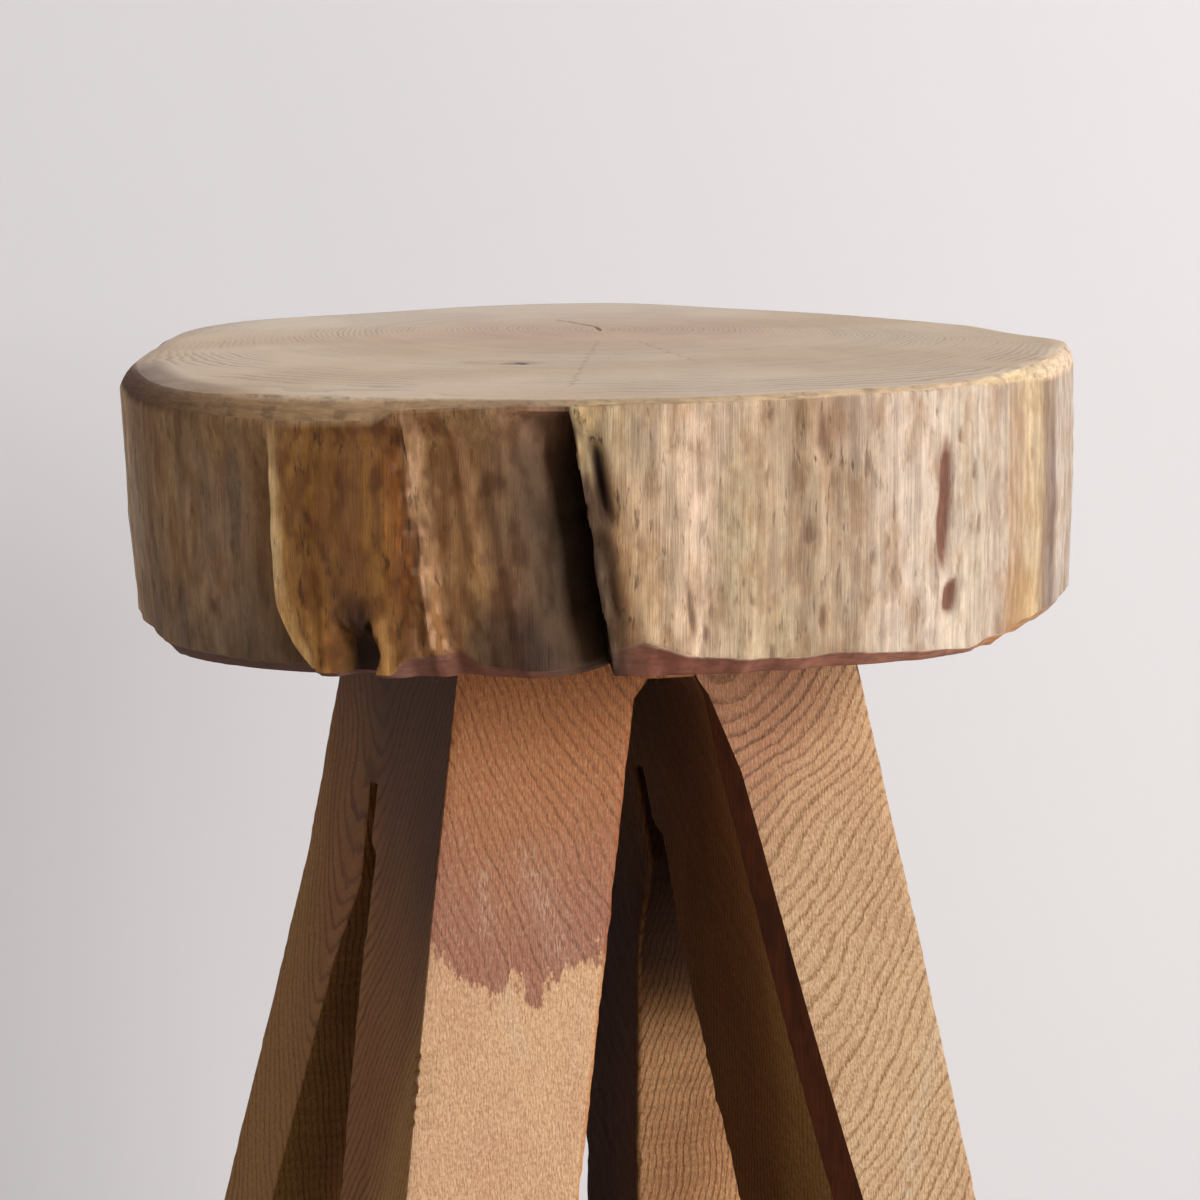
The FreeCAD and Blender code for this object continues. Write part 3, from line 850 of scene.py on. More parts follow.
# pits and gouges, and painted shade in the crevice
slanted = all_columns + GOUGE_LEAN * (0.5 - share)
shaken_share = share + 0.02 * ripple(points, (2, 2, 4), 36)
for spots, place_of, code, strength in ((PITS, shaken_col, "6b4a38", 0.75),
                                        (GOUGES, slanted, "6a3d2c", 2.0),
                                        ((CREVICE,), all_columns, "2a1d14", 1.4)):
    mask = np.clip(strength * spot_mask(place_of, shaken_share, spots), 0, 0.95)[:, None]
    flank_shade = flank_shade * (1 - mask) + np.array(colour(code)[:3]) * mask
print("painted flank from", flank_shade.min().round(3), "to", flank_shade.max().round(3))

# %% [markdown]
# On the top, broad soft areas are painted: pinkish heartwood round the pith and paler wood towards
# the rim. It is painted a little lighter at the left, and a pale painted sheen lies over the back.
# The worn rim at the left end takes the dark colour of the chamfer beside it.

# %% Painted colours of the top and the chamfers
HEART_STRENGTH = 0.65   # how far the pink heartwood covers the rest
LEFT_GAIN = 0.09        # share by which the top is lighter at the left
BACK_SHEEN_GAIN = 0.16        # and at the back, where a sheen is painted
BACK_SHEEN = 0.6         # how far the pale painted sheen at the back covers the rest

from_pith = np.hypot(points[:, 0] - PITH[0], points[:, 1] - PITH[1])
pale, pink, warm = (np.array(colour(code)[:3]) for code in ("dec6a8", "cfa98d", "d3b795"))
patch = soft_step(ripple(points, (55, 30, 50), 34), -0.4, 0.6)[:, None]
heart = (1 - soft_step(from_pith + 14 * ripple(points, (20, 20, 20), 35), 40, 95))[:, None]
top_shade = pale * (1 - patch) + warm * patch
top_shade = top_shade * (1 - HEART_STRENGTH * heart) + pink * HEART_STRENGTH * heart
at_left = 1 + LEFT_GAIN * soft_step(-points[:, 0], 0, 90)
# lighter at the left, and a painted sheen that grows towards the back
top_shade = top_shade * (at_left + BACK_SHEEN_GAIN * soft_step(points[:, 1], 20, 130))[:, None]
at_back = BACK_SHEEN * soft_step(points[:, 1], 50, 140)[:, None]
top_shade = top_shade * (1 - at_back) + np.array(colour("efe2cf")[:3]) * at_back
shade = flank_shade
shade = np.where((zone == 0)[:, None] | (zone == 4)[:, None], top_shade, shade)
shade = np.where((zone == 1)[:, None], ring_colour(all_columns, TOP_CUT), shade)
rim_shade = ring_colour(column, TOP_CUT)
for row, amount in ((rim_row, 0.95), (worn_row, 0.75)):
    shade[row] += (rim_shade - shade[row]) * (amount * worn_side)[:, None]
shade = np.where((zone == 3)[:, None], ring_colour(all_columns, LOW_CUT), shade)
print("painted", len(shade), "points")

# %% [markdown]
# The ring coordinate is the distance from the pith near the pith, and turns slowly into a share
# of the way to the rim, which is how a tree's rings take on the outline of its trunk. The marks
# attribute says where clinging bark has left dark spots: most of all beside the split.

# %% Ring and bark marks
MEAN_RADIUS = 150.0
share_out = np.ones(len(points))
share_out[0] = 0.0
for number, distance in enumerate(distances):
    share_out[1 + number * COLUMNS:1 + (number + 1) * COLUMNS] = distance / reach
under_rows = (zone == 4)
share_out[under_rows] = np.hypot(points[under_rows, 0], points[under_rows, 1]) / MEAN_RADIUS
ring = (1 - share_out ** 2) * from_pith + share_out ** 3 * MEAN_RADIUS
marked = by_angle(all_columns, ((0, 0.5), (180, 0.8), (190, 0.6), (214, 0.35), (217, 0.8),
                                (229, 0.9), (236, 0.5), (248, 0.4), (250, 1.0), (254, 0.9),
                                (262, 0.45), (280, 0.55), (300, 0.3), (320, 0.3), (350, 0.5)))
marked = marked + 0.8 * bump_at(all_columns, 278, 4) * bump_at(share, 0.72, 0.15)
marked = marked + 1.2 * bump_at(all_columns, 295.2, 1.3) * bump_at(share, 0.55, 0.2)
print("ring from", ring.min().round(1), "to", ring.max().round(1), "mm")

# %% [markdown]
# Now the net is closed: a fan at the pith, quads between neighbouring rows, and a fan in the
# middle of the underside. Four finishes share the mesh, chosen by zone.

# %% Seat mesh
ZONE_MATERIALS = (sanded_top, chamfer_wood, flank_wood, sawn_underside)
ZONE_SLOT = {0: 0, 1: 1, 2: 2, 3: 1, 4: 3}
row_count = len(rows)
number = 1 + np.arange(row_count * COLUMNS).reshape(row_count, COLUMNS)
following = np.roll(number, -1, axis=1)
quads = np.stack([number[:-1], number[1:], following[1:], following[:-1]], -1).reshape(-1, 4)
quad_zone = np.repeat(np.array(zones[1:]), COLUMNS)
last = len(points) - 1
faces = [(0, int(a), int(b)) for a, b in zip(number[0], following[0])]
slots = [ZONE_SLOT[0]] * COLUMNS
faces += [tuple(q) for q in quads.tolist()]
slots += [ZONE_SLOT[z] for z in quad_zone.tolist()]
faces += [(last, int(b), int(a)) for a, b in zip(number[-1], following[-1])]
slots += [ZONE_SLOT[4]] * COLUMNS
seat = make_mesh("seat_slice", to_frame(points), faces, ZONE_MATERIALS, slots, 50)
paint(seat, "tint", "FLOAT_COLOR", np.concatenate([shade, np.ones((len(shade), 1))], 1))
paint(seat, "ring", "FLOAT", ring)
paint(seat, "crack", "FLOAT", crack)
paint(seat, "marked", "FLOAT", marked)
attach(seat, "root")
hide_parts("seat_slab")

# %% [markdown]
# ### Sawn block
#
# The base is one squared log, so one set of growth rings runs through all four legs. The rings
# are drawn as slim solid cones round a line that leans a little and stands somewhat to the right
# of the pith. Where a leg's face cuts them they show as nested arcs, with rows of short dark
# pores in each, drawn a little coarser than real ones. Inside a ragged limit round the pith is
# pinkish heartwood, and outside it is peach-coloured sapwood.

# %% Growth rings of the block
BLOCK_PITH = (4.5, 9.0)     # mm from the trunk line, at the top of the block
PITH_LEAN = 0.10            # how far the pith moves back for each mm down
BLOCK_RING = 2.1            # mm between rings
RING_TAPER = 0.06           # mm that a ring closes in for each mm down
RING_SHIFT = 15.0           # mm to the right of the pith of the line that the rings curl round
PORE_SIZE = (0.7, 0.7, 1.3)  # pores are drawn a little coarser than real ones
HEART_RADIUS = 97.0
HEART_BULGE = 37.0          # extra heartwood towards the front left corner


def ring_lines(tree, in_mm, height, from_x, from_y):
    """0..1 mask of the dark late wood of each year: slim cones, bent by two sizes of noise."""
    wide = add(tree, "ShaderNodeTexNoise", None, {"Vector": in_mm, "Scale": 1 / 55,
                                                  "Detail": 1.0})
    close = add(tree, "ShaderNodeTexNoise", None, {"Vector": in_mm, "Scale": 1 / 9,
                                                   "Detail": 2.0})
    bend = add(tree, MATH, TIMES, {0: wide, 1: 11.0})
    bend = add(tree, MATH, TIMES_PLUS, {0: close, 1: 1.8, 2: bend})
    below = add(tree, MATH, TIMES_PLUS, {0: height, 1: -RING_TAPER, 2: RING_TAPER * SEAT_LOW})
    ring_x = add(tree, MATH, MINUS, {0: from_x, 1: RING_SHIFT})
    ring_flat = add(tree, "ShaderNodeCombineXYZ", None, {0: ring_x, 1: from_y})
    ring_radius = add(tree, VECTOR, {"operation": "LENGTH"}, {0: ring_flat})
    bent = add(tree, MATH, PLUS, {0: ring_radius.outputs["Value"], 1: bend})
    bent = add(tree, MATH, PLUS, {0: bent, 1: below})
    years = add(tree, MATH, OVER, {0: bent, 1: BLOCK_RING})
    in_year = add(tree, MATH, {"operation": "FRACT"}, {0: years})
    which = add(tree, MATH, {"operation": "FLOOR"}, {0: years})
    strength = add(tree, "ShaderNodeTexWhiteNoise", {"noise_dimensions": "1D"}, {"W": which})
    strength = add(tree, RANGE, None, {"Value": strength, "To Min": 0.55, "To Max": 1.0})
    line = add(tree, RANGE, SMOOTH, {"Value": in_year, "From Min": 0.50, "From Max": 0.82})
    fall = add(tree, RANGE, None, {"Value": in_year, "From Min": 1.0, "From Max": 0.9})
    line = add(tree, MATH, TIMES, {0: line, 1: fall})
    return add(tree, MATH, TIMES, {0: line, 1: strength})


print("rings every", BLOCK_RING, "mm")

# %% [markdown]
# The heartwood limit is a circle round the pith with a bulge towards one corner, made ragged.
# Where the face is bold the limit is sharp and the wood just inside it is redder. The slot walls
# were cut by a round saw, whose teeth left wide arcs.

# %% Heartwood limit and saw arcs
def heart_masks(tree, in_mm, from_x, from_y, bold):
    """Masks of the heartwood, and of the redder rim just inside its limit."""
    flat = add(tree, "ShaderNodeCombineXYZ", None, {0: from_x, 1: from_y})
    radius = add(tree, VECTOR, {"operation": "LENGTH"}, {0: flat})
    radius = radius.outputs["Value"]
    bearing = add(tree, MATH, {"operation": "ARCTAN2"}, {0: from_y, 1: from_x})
    away = add(tree, MATH, PLUS, {0: bearing, 1: math.radians(141)})
    away = add(tree, MATH, OVER, {0: away, 1: math.radians(26)})
    away = add(tree, MATH, TIMES, {0: away, 1: away})
    away = add(tree, MATH, TIMES, {0: away, 1: -1.0})
    bulge = add(tree, MATH, {"operation": "EXPONENT"}, {0: away})
    limit = add(tree, MATH, TIMES_PLUS, {0: bulge, 1: HEART_BULGE, 2: HEART_RADIUS})
    drawn_out = add(tree, VECTOR, TIMES, {0: in_mm, 1: (1.0, 1.0, 0.45)})
    jagged = add(tree, "ShaderNodeTexNoise", None,
                 {"Vector": drawn_out, "Scale": 1 / 9, "Detail": 5.0, "Roughness": 0.65})
    jagged = add(tree, MATH, TIMES_PLUS, {0: jagged, 1: 14.0, 2: -7.0})
    inside = add(tree, MATH, MINUS, {0: limit, 1: radius})
    inside = add(tree, MATH, PLUS, {0: inside, 1: jagged})
    blur = add(tree, MATH, TIMES_PLUS, {0: bold, 1: -9.1, 2: 9.5})
    outer = add(tree, MATH, TIMES, {0: blur, 1: -1.0})
    heart = add(tree, RANGE, SMOOTH, {"Value": inside, "From Min": outer, "From Max": blur})
    rim = add(tree, RANGE, SMOOTH, {"Value": inside, "From Min": 22.0, "From Max": 1.0})
    rim = add(tree, MATH, TIMES, {0: rim, 1: heart})
    rim = add(tree, MATH, TIMES, {0: rim, 1: bold})
    return heart, rim


def saw_arcs(tree, in_mm):
    """Soft bands along the wide arcs that a round saw leaves."""
    arm = add(tree, VECTOR, PLUS, {0: in_mm, 1: (0.0, 260.0, -520.0)})
    arm = add(tree, VECTOR, TIMES, {0: arm, 1: (0.25, 1.0, 1.0)})
    swing = add(tree, VECTOR, {"operation": "LENGTH"}, {0: arm})
    swing = swing.outputs["Value"]
    teeth = add(tree, "ShaderNodeTexNoise", {"noise_dimensions": "1D"},
                {"W": swing, "Scale": 0.32, "Detail": 2.0})
    return add(tree, RANGE, SMOOTH, {"Value": teeth, "From Min": 0.42, "From Max": 0.62})


print("heartwood reaches", HEART_RADIUS, "to", HEART_RADIUS + HEART_BULGE, "mm")

# %% [markdown]
# The material mixes sapwood and heartwood, draws the rings and pores over them, adds the small
# bright glints of cut fibres and the pale scrapes, and last multiplies everything with the tone
# that is painted on each face, which also holds painted light and shade. The planed faces and the
# rough slot walls are the same wood; the walls are given some painted shade on top.

# %% Block material
def sawn_block(name, roughness, painted_shade, saw_strength):
    """Solid-grained wood of the block: planed faces, or rough slot walls with painted shade."""
    material, tree, shader, place = start_material(name)
    in_mm = add(tree, VECTOR, TIMES_PLUS,
                {0: place, 1: (1 / MM, 1 / MM, 1 / MM), 2: (-TRUNK_X / MM, -TRUNK_Y / MM, 0)})
    axes = add(tree, "ShaderNodeSeparateXYZ", None, {0: in_mm})
    pith_y = add(tree, MATH, TIMES_PLUS, {0: axes.outputs[2], 1: -PITH_LEAN,
                                          2: BLOCK_PITH[1] + PITH_LEAN * SEAT_LOW})
    from_x = add(tree, MATH, MINUS, {0: axes.outputs[0], 1: BLOCK_PITH[0]})
    from_y = add(tree, MATH, MINUS, {0: axes.outputs[1], 1: pith_y})
    bold = add(tree, "ShaderNodeAttribute", {"attribute_name": "bold"}).outputs["Fac"]
    line = ring_lines(tree, in_mm, axes.outputs[2], from_x, from_y)
    heart, rim = heart_masks(tree, in_mm, from_x, from_y, bold)
    teeth = saw_arcs(tree, in_mm)
    pores = patches(tree, place, PORE_SIZE, 0.45, 0.60, 1.0)
    fibres = patches(tree, place, (0.6, 0.6, 7.0), 0.32, 0.68, 3.0, 2.0)
    clouds = patches(tree, place, (26, 26, 60), 0.36, 0.66, 3.0, 6.0)
    # colours: sapwood, heartwood and its redder rim, then the lines, pores and scrapes
    sap = stain(tree, colour("cfa682"), clouds, "d8b48c", 0.8)
    red = stain(tree, colour("bf8f70"), clouds, "b07c5f", 0.8)
    red = stain(tree, red, bold, "a7704c", 0.75)
    red = stain(tree, red, rim, "9a665a", 0.75)
    wood = add(tree, "ShaderNodeMix", {"data_type": "RGBA"}, {0: heart, 6: sap, 7: red})
    wood = wood.outputs[2]
    line_shade = add(tree, "ShaderNodeMix", {"data_type": "RGBA"},
                     {0: heart, 6: colour("95683f"), 7: colour("552b1b")}).outputs[2]
    plain = add(tree, MATH, MINUS, {0: 1.0, 1: heart})
    plain = add(tree, MATH, TIMES, {0: plain, 1: bold})
    softer = add(tree, MATH, TIMES_PLUS, {0: bold, 1: -0.35, 2: 1.0})
    drawn = add(tree, MATH, TIMES_PLUS, {0: plain, 1: -0.5, 2: softer})
    line = add(tree, MATH, TIMES, {0: line, 1: drawn})
    rows_of_pores = add(tree, MATH, TIMES, {0: line, 1: pores})
    faint = add(tree, MATH, TIMES, {0: line, 1: 0.75})
    dark = add(tree, MATH, TIMES, {0: rows_of_pores, 1: 0.60})
    wood = add(tree, "ShaderNodeMix", {"data_type": "RGBA"},
               {0: faint, 6: wood, 7: line_shade}).outputs[2]
    wood = add(tree, "ShaderNodeMix", {"data_type": "RGBA"},
               {0: dark, 6: wood, 7: line_shade}).outputs[2]
    wood = stain(tree, wood, pores, "8c5a38", 0.34)
    glints = patches(tree, place, (0.8, 0.8, 1.6), 0.50, 0.66, 1.0, 33.0)
    cut_open = add(tree, MATH, TIMES_PLUS, {0: heart, 1: -0.55, 2: 1.0})
    glints = add(tree, MATH, TIMES, {0: glints, 1: cut_open})
    wood = stain(tree, wood, glints, "f2d6b4", 0.30)
    wood = stain(tree, wood, fibres, "efcfa8", 0.08)
    scraped = add(tree, "ShaderNodeAttribute", {"attribute_name": "scraped"}).outputs["Fac"]
    fuzz = patches(tree, place, (0.6, 0.6, 5.0), 0.44, 0.66, 3.0, 12.0)
    scrape = add(tree, MATH, TIMES, {0: scraped, 1: fuzz})
    wood = stain(tree, wood, scrape, "d9cbb8", 0.6)
    wood = stain(tree, wood, teeth, "4c2e1c", saw_strength)
    # painted shade in soft dark patches, used on the slot walls
    shaded = stain(tree, wood, clouds, "3b2416", painted_shade * 0.6)
    tone = add(tree, "ShaderNodeAttribute", {"attribute_name": "tone"}).outputs["Color"]
    even = add(tree, "ShaderNodeMix", {"data_type": "RGBA", "blend_type": "MULTIPLY"},
               {0: 1.0, 6: shaded, 7: tone})
    tree.links.new(even.outputs[2], shader.inputs["Base Color"])
    grooves = add(tree, MATH, TIMES_PLUS, {0: rows_of_pores, 1: -1.0, 2: fibres})
    grooves = add(tree, MATH, TIMES_PLUS, {0: teeth, 1: -3 * saw_strength, 2: grooves})
    bumped = add(tree, "ShaderNodeBump", None,
                 {"Height": grooves, "Strength": 0.6, "Distance": 0.2 * MM})
    tree.links.new(bumped.outputs[0], shader.inputs["Normal"])
    shader.inputs["Roughness"].default_value = roughness
    shader.inputs["Specular IOR Level"].default_value = 0.25
    return material


block_face = sawn_block("planed_block", 0.7, 0.0, 0.0)
# the rough slot walls take a little painted shade
slot_wall = sawn_block("rough_sawn_slot", 0.85, 0.10, 0.12)
print("materials", block_face.name, slot_wall.name)

# %% [markdown]
# The planed-off corner beside the front slot has its own finish: reddish brown wood, painted dark
# for the shade that lies on it, with fine fibres along it and a slight shine.

# %% Planed corner material
corner_wood, tree, shader, place = start_material("burnished_corner")
fibres = patches(tree, place, (0.7, 0.7, 16.0), 0.35, 0.65, 3.0, 2.0)
clouds = patches(tree, place, (9, 9, 34), 0.40, 0.62, 2.0, 8.0)
# reddish brown, painted dark as shade
bare = stain(tree, colour("532508"), clouds, "371704", 0.8)
bare = stain(tree, bare, fibres, "2e180e", 0.5)
tree.links.new(bare, shader.inputs["Base Color"])
bumped = add(tree, "ShaderNodeBump", None,
             {"Height": fibres, "Strength": 0.4, "Distance": 0.15 * MM})
tree.links.new(bumped.outputs[0], shader.inputs["Normal"])
shader.inputs["Roughness"].default_value = 0.55
shader.inputs["Specular IOR Level"].default_value = 0.2
print("material", corner_wood.name)

# %% [markdown]
# ## The base
#
# The block is built as a lattice of small cells that bends to fit the leaning faces and slot
# walls, with the same measurements as the frame's block. Cells inside the two saw slots
# are left out, and the faces between full and empty cells become the mesh. This keeps every edge
# crisp and puts small quads everywhere, so that saw marks and worn edges can be real shape.

# %% Measurements of the block
BLOCK_TOP = ((-69.5, -61), (65, -66.6), (66, 66), (-66, 66))
BLOCK_KNEE = ((-86, -77), (83, -82), (82.5, 81), (-79.5, 81))
BLOCK_FLOOR = ((-127.5, -119), (131, -123), (124, 122), (-134, 122))
KNEE_Z = 265.0
SLOT_HEIGHTS = ((-20, 341, 347), (-20, 172, 292, 341, 347))     # of the left and right wall
SLOT_SECTIONS = (       # y of the section, x of the left wall, x of the right wall
    (-150.0, (-78, -11.5, -6), (99, 62, 27, 13.5, 10)),
    (30.0, (-68, -11, -6), (46, 31, 20.5, 13, 10)),
    (150.0, (-62, -10.5, -6), (42, 29.5, 17, 12, 10)),
)
SLOT_CEILING = 347.0
KERF_FRONT = ((-20, 240, 281, 284, 303), (-66, -6, -1, 6, 8.5))
KERF_BACK = ((-20, 156, 238, 270, 284, 303), (72, 47, 27, 11, 13.5, 16.5))
KERF_CEILING = 303.0
CORNER_Z = (-5, 172, 315, 345)
CORNER_SIZE = (7.5, 7.0, 5.5, 0.6)
BLOCK_FOOT = 4.0       # thickness of the glides that the legs stand on
FINE_STEP = 1.62       # height of the cells in the upper part
COARSE_STEP = 3.3      # height of the cells near the floor
COARSE_BELOW = 150.0


def corner(index, z):
    """x and y of one outer edge of the block at height z."""
    heights = (0, KNEE_Z, SEAT_LOW)
    return [np.interp(z, heights, (BLOCK_FLOOR[index][c], BLOCK_KNEE[index][c],
                                   BLOCK_TOP[index][c])) for c in (0, 1)]


def face_between(first, second, along, z, axis):
    """Coordinate of the outer face between two edges, at a place along it."""
    a = corner(first, z)
    b = corner(second, z)
    other = 1 - axis
    return a[axis] + (along - a[other]) / (b[other] - a[other]) * (b[axis] - a[axis])


def slot_side(y, z, side):
    """x of a wall of the front-to-back slot; side is 1 for left and 2 for right."""
    walls = [np.interp(z, SLOT_HEIGHTS[side - 1], section[side]) for section in SLOT_SECTIONS]
    front, between, back = (section[0] for section in SLOT_SECTIONS)
    ahead = walls[0] + (walls[1] - walls[0]) * (y - front) / (between - front)
    behind = walls[1] + (walls[2] - walls[1]) * (y - between) / (back - between)
    return np.where(y < between, ahead, behind)


# %% [markdown]
# The lattice has columns across the stool, rows from front to back and levels up the height.
# The place of a column depends on the row and the other way round, so the two are worked out in
# turn a few times until they settle.

# %% Lattice of the block
LEFT_CELLS = 30
GAP_CELLS = 8
CORNER_CELLS = 4
RIGHT_CELLS = 26
FRONT_CELLS = 28
KERF_CELLS = 4
BACK_CELLS = 26


def heights():
    """Levels of the lattice: every break of the walls, and even steps between."""
    breaks = [BLOCK_FOOT, COARSE_BELOW, 172, 240, KNEE_Z, 281, 292, KERF_CEILING, 315, 341,
              SLOT_CEILING, SEAT_LOW]
    levels = [breaks[0]]
    for low, high in zip(breaks, breaks[1:]):
        step = COARSE_STEP if high <= COARSE_BELOW else FINE_STEP
        count = max(1, round((high - low) / step))
        levels += list(np.linspace(low, high, count + 1)[1:])
    return np.array(levels)


level = heights()
gap_start = LEFT_CELLS
gap_end = gap_start + GAP_CELLS
corner_end = gap_end + CORNER_CELLS
column_total = corner_end + RIGHT_CELLS
kerf_start = CORNER_CELLS + FRONT_CELLS
kerf_end = kerf_start + KERF_CELLS
row_total = kerf_end + BACK_CELLS
shape = (column_total + 1, row_total + 1, len(level))
i_of, j_of, k_of = np.meshgrid(*[np.arange(n) for n in shape], indexing="ij")
z_grid = level[k_of]
corner_size = np.interp(z_grid, CORNER_Z, CORNER_SIZE)


def place_columns(y, z):
    left = face_between(0, 3, y, z, 0)
    right = face_between(1, 2, y, z, 0)
    slot_left = slot_side(y, z, 1)
    slot_right = slot_side(y, z, 2)
    in_left = left + (slot_left - left) * i_of / LEFT_CELLS
    in_gap = slot_left + (slot_right - slot_left) * (i_of - gap_start) / GAP_CELLS
    in_corner = slot_right + corner_size * (i_of - gap_end) / CORNER_CELLS
    start = slot_right + corner_size
    in_right = start + (right - start) * (i_of - corner_end) / RIGHT_CELLS
    return np.where(i_of <= gap_start, in_left,
                    np.where(i_of <= gap_end, in_gap,
                             np.where(i_of <= corner_end, in_corner, in_right)))


def place_rows(x, z):
    front = face_between(0, 1, x, z, 1)
    back = face_between(3, 2, x, z, 1)
    kerf_front = np.interp(z, *KERF_FRONT)
    kerf_back = np.interp(z, *KERF_BACK)
    in_corner = front + corner_size * j_of / CORNER_CELLS
    start = front + corner_size
    in_front = start + (kerf_front - start) * (j_of - CORNER_CELLS) / FRONT_CELLS
    in_kerf = kerf_front + (kerf_back - kerf_front) * (j_of - kerf_start) / KERF_CELLS
    in_back = kerf_back + (back - kerf_back) * (j_of - kerf_end) / BACK_CELLS
    return np.where(j_of <= CORNER_CELLS, in_corner,
                    np.where(j_of <= kerf_start, in_front,
                             np.where(j_of <= kerf_end, in_kerf, in_back)))


x_grid = np.zeros(shape)
y_grid = np.zeros(shape)
for _ in range(6):
    y_grid = place_rows(x_grid, z_grid)
    x_grid = place_columns(y_grid, z_grid)
from_wall = x_grid - slot_side(y_grid, z_grid, 2)
from_front = y_grid - face_between(0, 1, x_grid, z_grid, 1)
near_corner = (i_of >= gap_end) & (i_of <= corner_end) & (j_of <= CORNER_CELLS)
planed = np.where(near_corner, np.clip(corner_size - from_wall - from_front, 0, None), 0)
x_grid = x_grid + planed / 2
y_grid = y_grid + planed / 2
print("lattice", shape, "levels up to", level[-1])

# %% [markdown]
# A cell is full unless it lies in a slot. Wherever a full cell meets an empty one, the square
# between them is part of the surface. Going through the three directions, both ways, gives
# the whole closed skin, with every face turned outwards.

# %% Skin of the block
middle = (level[1:] + level[:-1]) / 2
cell_i, cell_j, cell_k = np.meshgrid(*[np.arange(n - 1) for n in shape], indexing="ij")
in_slot = (cell_i >= gap_start) & (cell_i < gap_end) & (middle[cell_k] < SLOT_CEILING)
in_kerf = (cell_j >= kerf_start) & (cell_j < kerf_end) & (middle[cell_k] < KERF_CEILING)
full = np.pad(~(in_slot | in_kerf), 1)
index = np.arange(np.prod(shape)).reshape(shape)
FACE, WALL, CORNER = 0, 1, 2
block_quads = []
block_slots = []
for axis in range(3):
    here = np.moveaxis(full, axis, 0)
    nodes = np.moveaxis(index, axis, 0)
    for facing_out in (True, False):
        meets = here[:-1, 1:-1, 1:-1] != here[1:, 1:-1, 1:-1]
        faces_out = meets & (here[:-1, 1:-1, 1:-1] if facing_out else here[1:, 1:-1, 1:-1])
        n, a, b = np.nonzero(faces_out)
        ring_of_four = [nodes[n, a, b], nodes[n, a + 1, b], nodes[n, a + 1, b + 1],
                        nodes[n, a, b + 1]]
        if facing_out == (axis == 1):
            ring_of_four.reverse()
        block_quads.append(np.stack(ring_of_four, 1))
        if axis == 0:
            wall = (n == gap_start) | (n == gap_end)
            planed_face = (n == gap_end) & (a < CORNER_CELLS)
        elif axis == 1:
            wall = (n == kerf_start) | (n == kerf_end)
            planed_face = (n == 0) & (a >= gap_end) & (a < corner_end)
        else:
            wall = (n > 0) & (n < len(level) - 1)
            planed_face = np.zeros(len(n), bool)
        block_slots.append(np.where(planed_face, CORNER, np.where(wall, WALL, FACE)))
quads = np.concatenate(block_quads)
slots = np.concatenate(block_slots)
used, quads = np.unique(quads, return_inverse=True)
quads = quads.reshape(-1, 4)
skin = np.stack([x_grid.ravel()[used], y_grid.ravel()[used], z_grid.ravel()[used]], 1)
print("skin: points", len(skin), "quads", len(quads))


# %% [markdown]
# The skin is then aged. Points on an edge know it, because the faces round them look in
# different directions; they are pulled in unevenly, which rounds the edge and leaves small
# nicks. Slot walls get the ripple of the saw, and one back edge of a slot, where the saw came
# out, is torn into a jagged line.

# %% Worn edges and saw ripples
def point_directions(points, faces):
    """Average outward direction at each point; its length is under 1 on an edge."""
    a, b, c, d = (points[faces[:, n]] for n in range(4))
    normal = np.cross(c - a, d - b)
    normal /= np.linalg.norm(normal, axis=1, keepdims=True) + 1e-12
    total = np.zeros_like(points)
    count = np.zeros(len(points))
    for n in range(4):
        np.add.at(total, faces[:, n], normal)
        np.add.at(count, faces[:, n], 1)
    return total / count[:, None]


direction = point_directions(skin, quads)
length = np.linalg.norm(direction, axis=1)
unit = direction / length[:, None]
on_edge = np.clip((0.97 - length) / 0.26, 0, 1)
grid_i, grid_j = (g.ravel()[used] for g in (i_of, j_of))
on_wall = ((grid_i == gap_start) | (grid_i == gap_end)) & (skin[:, 2] < SLOT_CEILING)
on_wall = on_wall | ((grid_j == kerf_start) | (grid_j == kerf_end)) & (skin[:, 2] < KERF_CEILING)
arc = np.hypot(skin[:, 1] + 260, skin[:, 2] - 520)
saw = 0.10 * np.sin(arc * 2 * np.pi / 9) + 0.20 * ripple(skin, (30, 3.4, 3.4), 41)
push = np.where(on_wall, saw, 0.08 * ripple(skin, (3, 3, 3), 42))
push = push + 0.18 * ripple(skin, (40, 40, 40), 43)
worn = 0.55 + 0.30 * ripple(skin, (6, 6, 9), 44) + 0.22 * ripple(skin, (2, 2, 2.6), 45)
push = push - on_edge * worn * 0.8
torn = (grid_i == gap_end) & (grid_j == kerf_start) & (skin[:, 2] < 285)
skin[:, 1] -= torn * 1.6 * (1 + ripple(skin, (50, 50, 3.6), 46))
nicked = (grid_i <= 2) & (grid_j <= 2) & (skin[:, 2] > 205) & (skin[:, 2] < 232)
push = push - nicked * 1.1 * (np.sin(skin[:, 2] * 2 * np.pi / 5.2) > 0.3)
sunk = (skin[:, 2] < SEAT_LOW - 0.01)
skin = skin + unit * (push * sunk)[:, None]
print("points on edges", int((on_edge > 0.5).sum()))

# %% [markdown]
# Some pale scrapes cross the front faces where the block was dragged. Each one is a short line
# on the face, and the points near it carry a strength that the material reads.

# %% Scrapes
SCRAPES = (        # start, end (mm round the trunk line), half width
    ((-66.3, -73.7, 288), (-66.2, -77.1, 268), 2.0),
    ((-61.7, -79.9, 251), (-57.2, -83.7, 228), 2.0),
    ((-50, -74, 290), (-42, -79, 262), 6.0),
    ((88.4, -88, 226), (74.7, -95.5, 172), 3.0),
)
scraped = np.zeros(len(skin))
for start, end, half_width in SCRAPES:
    start, end = np.array(start, float), np.array(end, float)
    t = np.clip((skin - start) @ (end - start) / ((end - start) @ (end - start)), 0, 1)
    gap = np.linalg.norm(skin - start - t[:, None] * (end - start), axis=1)
    strength = 0.55 if half_width > 5 else 0.9
    scraped = np.maximum(scraped, strength * np.exp(-(gap / half_width) ** 2))
print("points in scrapes", int((scraped > 0.3).sum()))
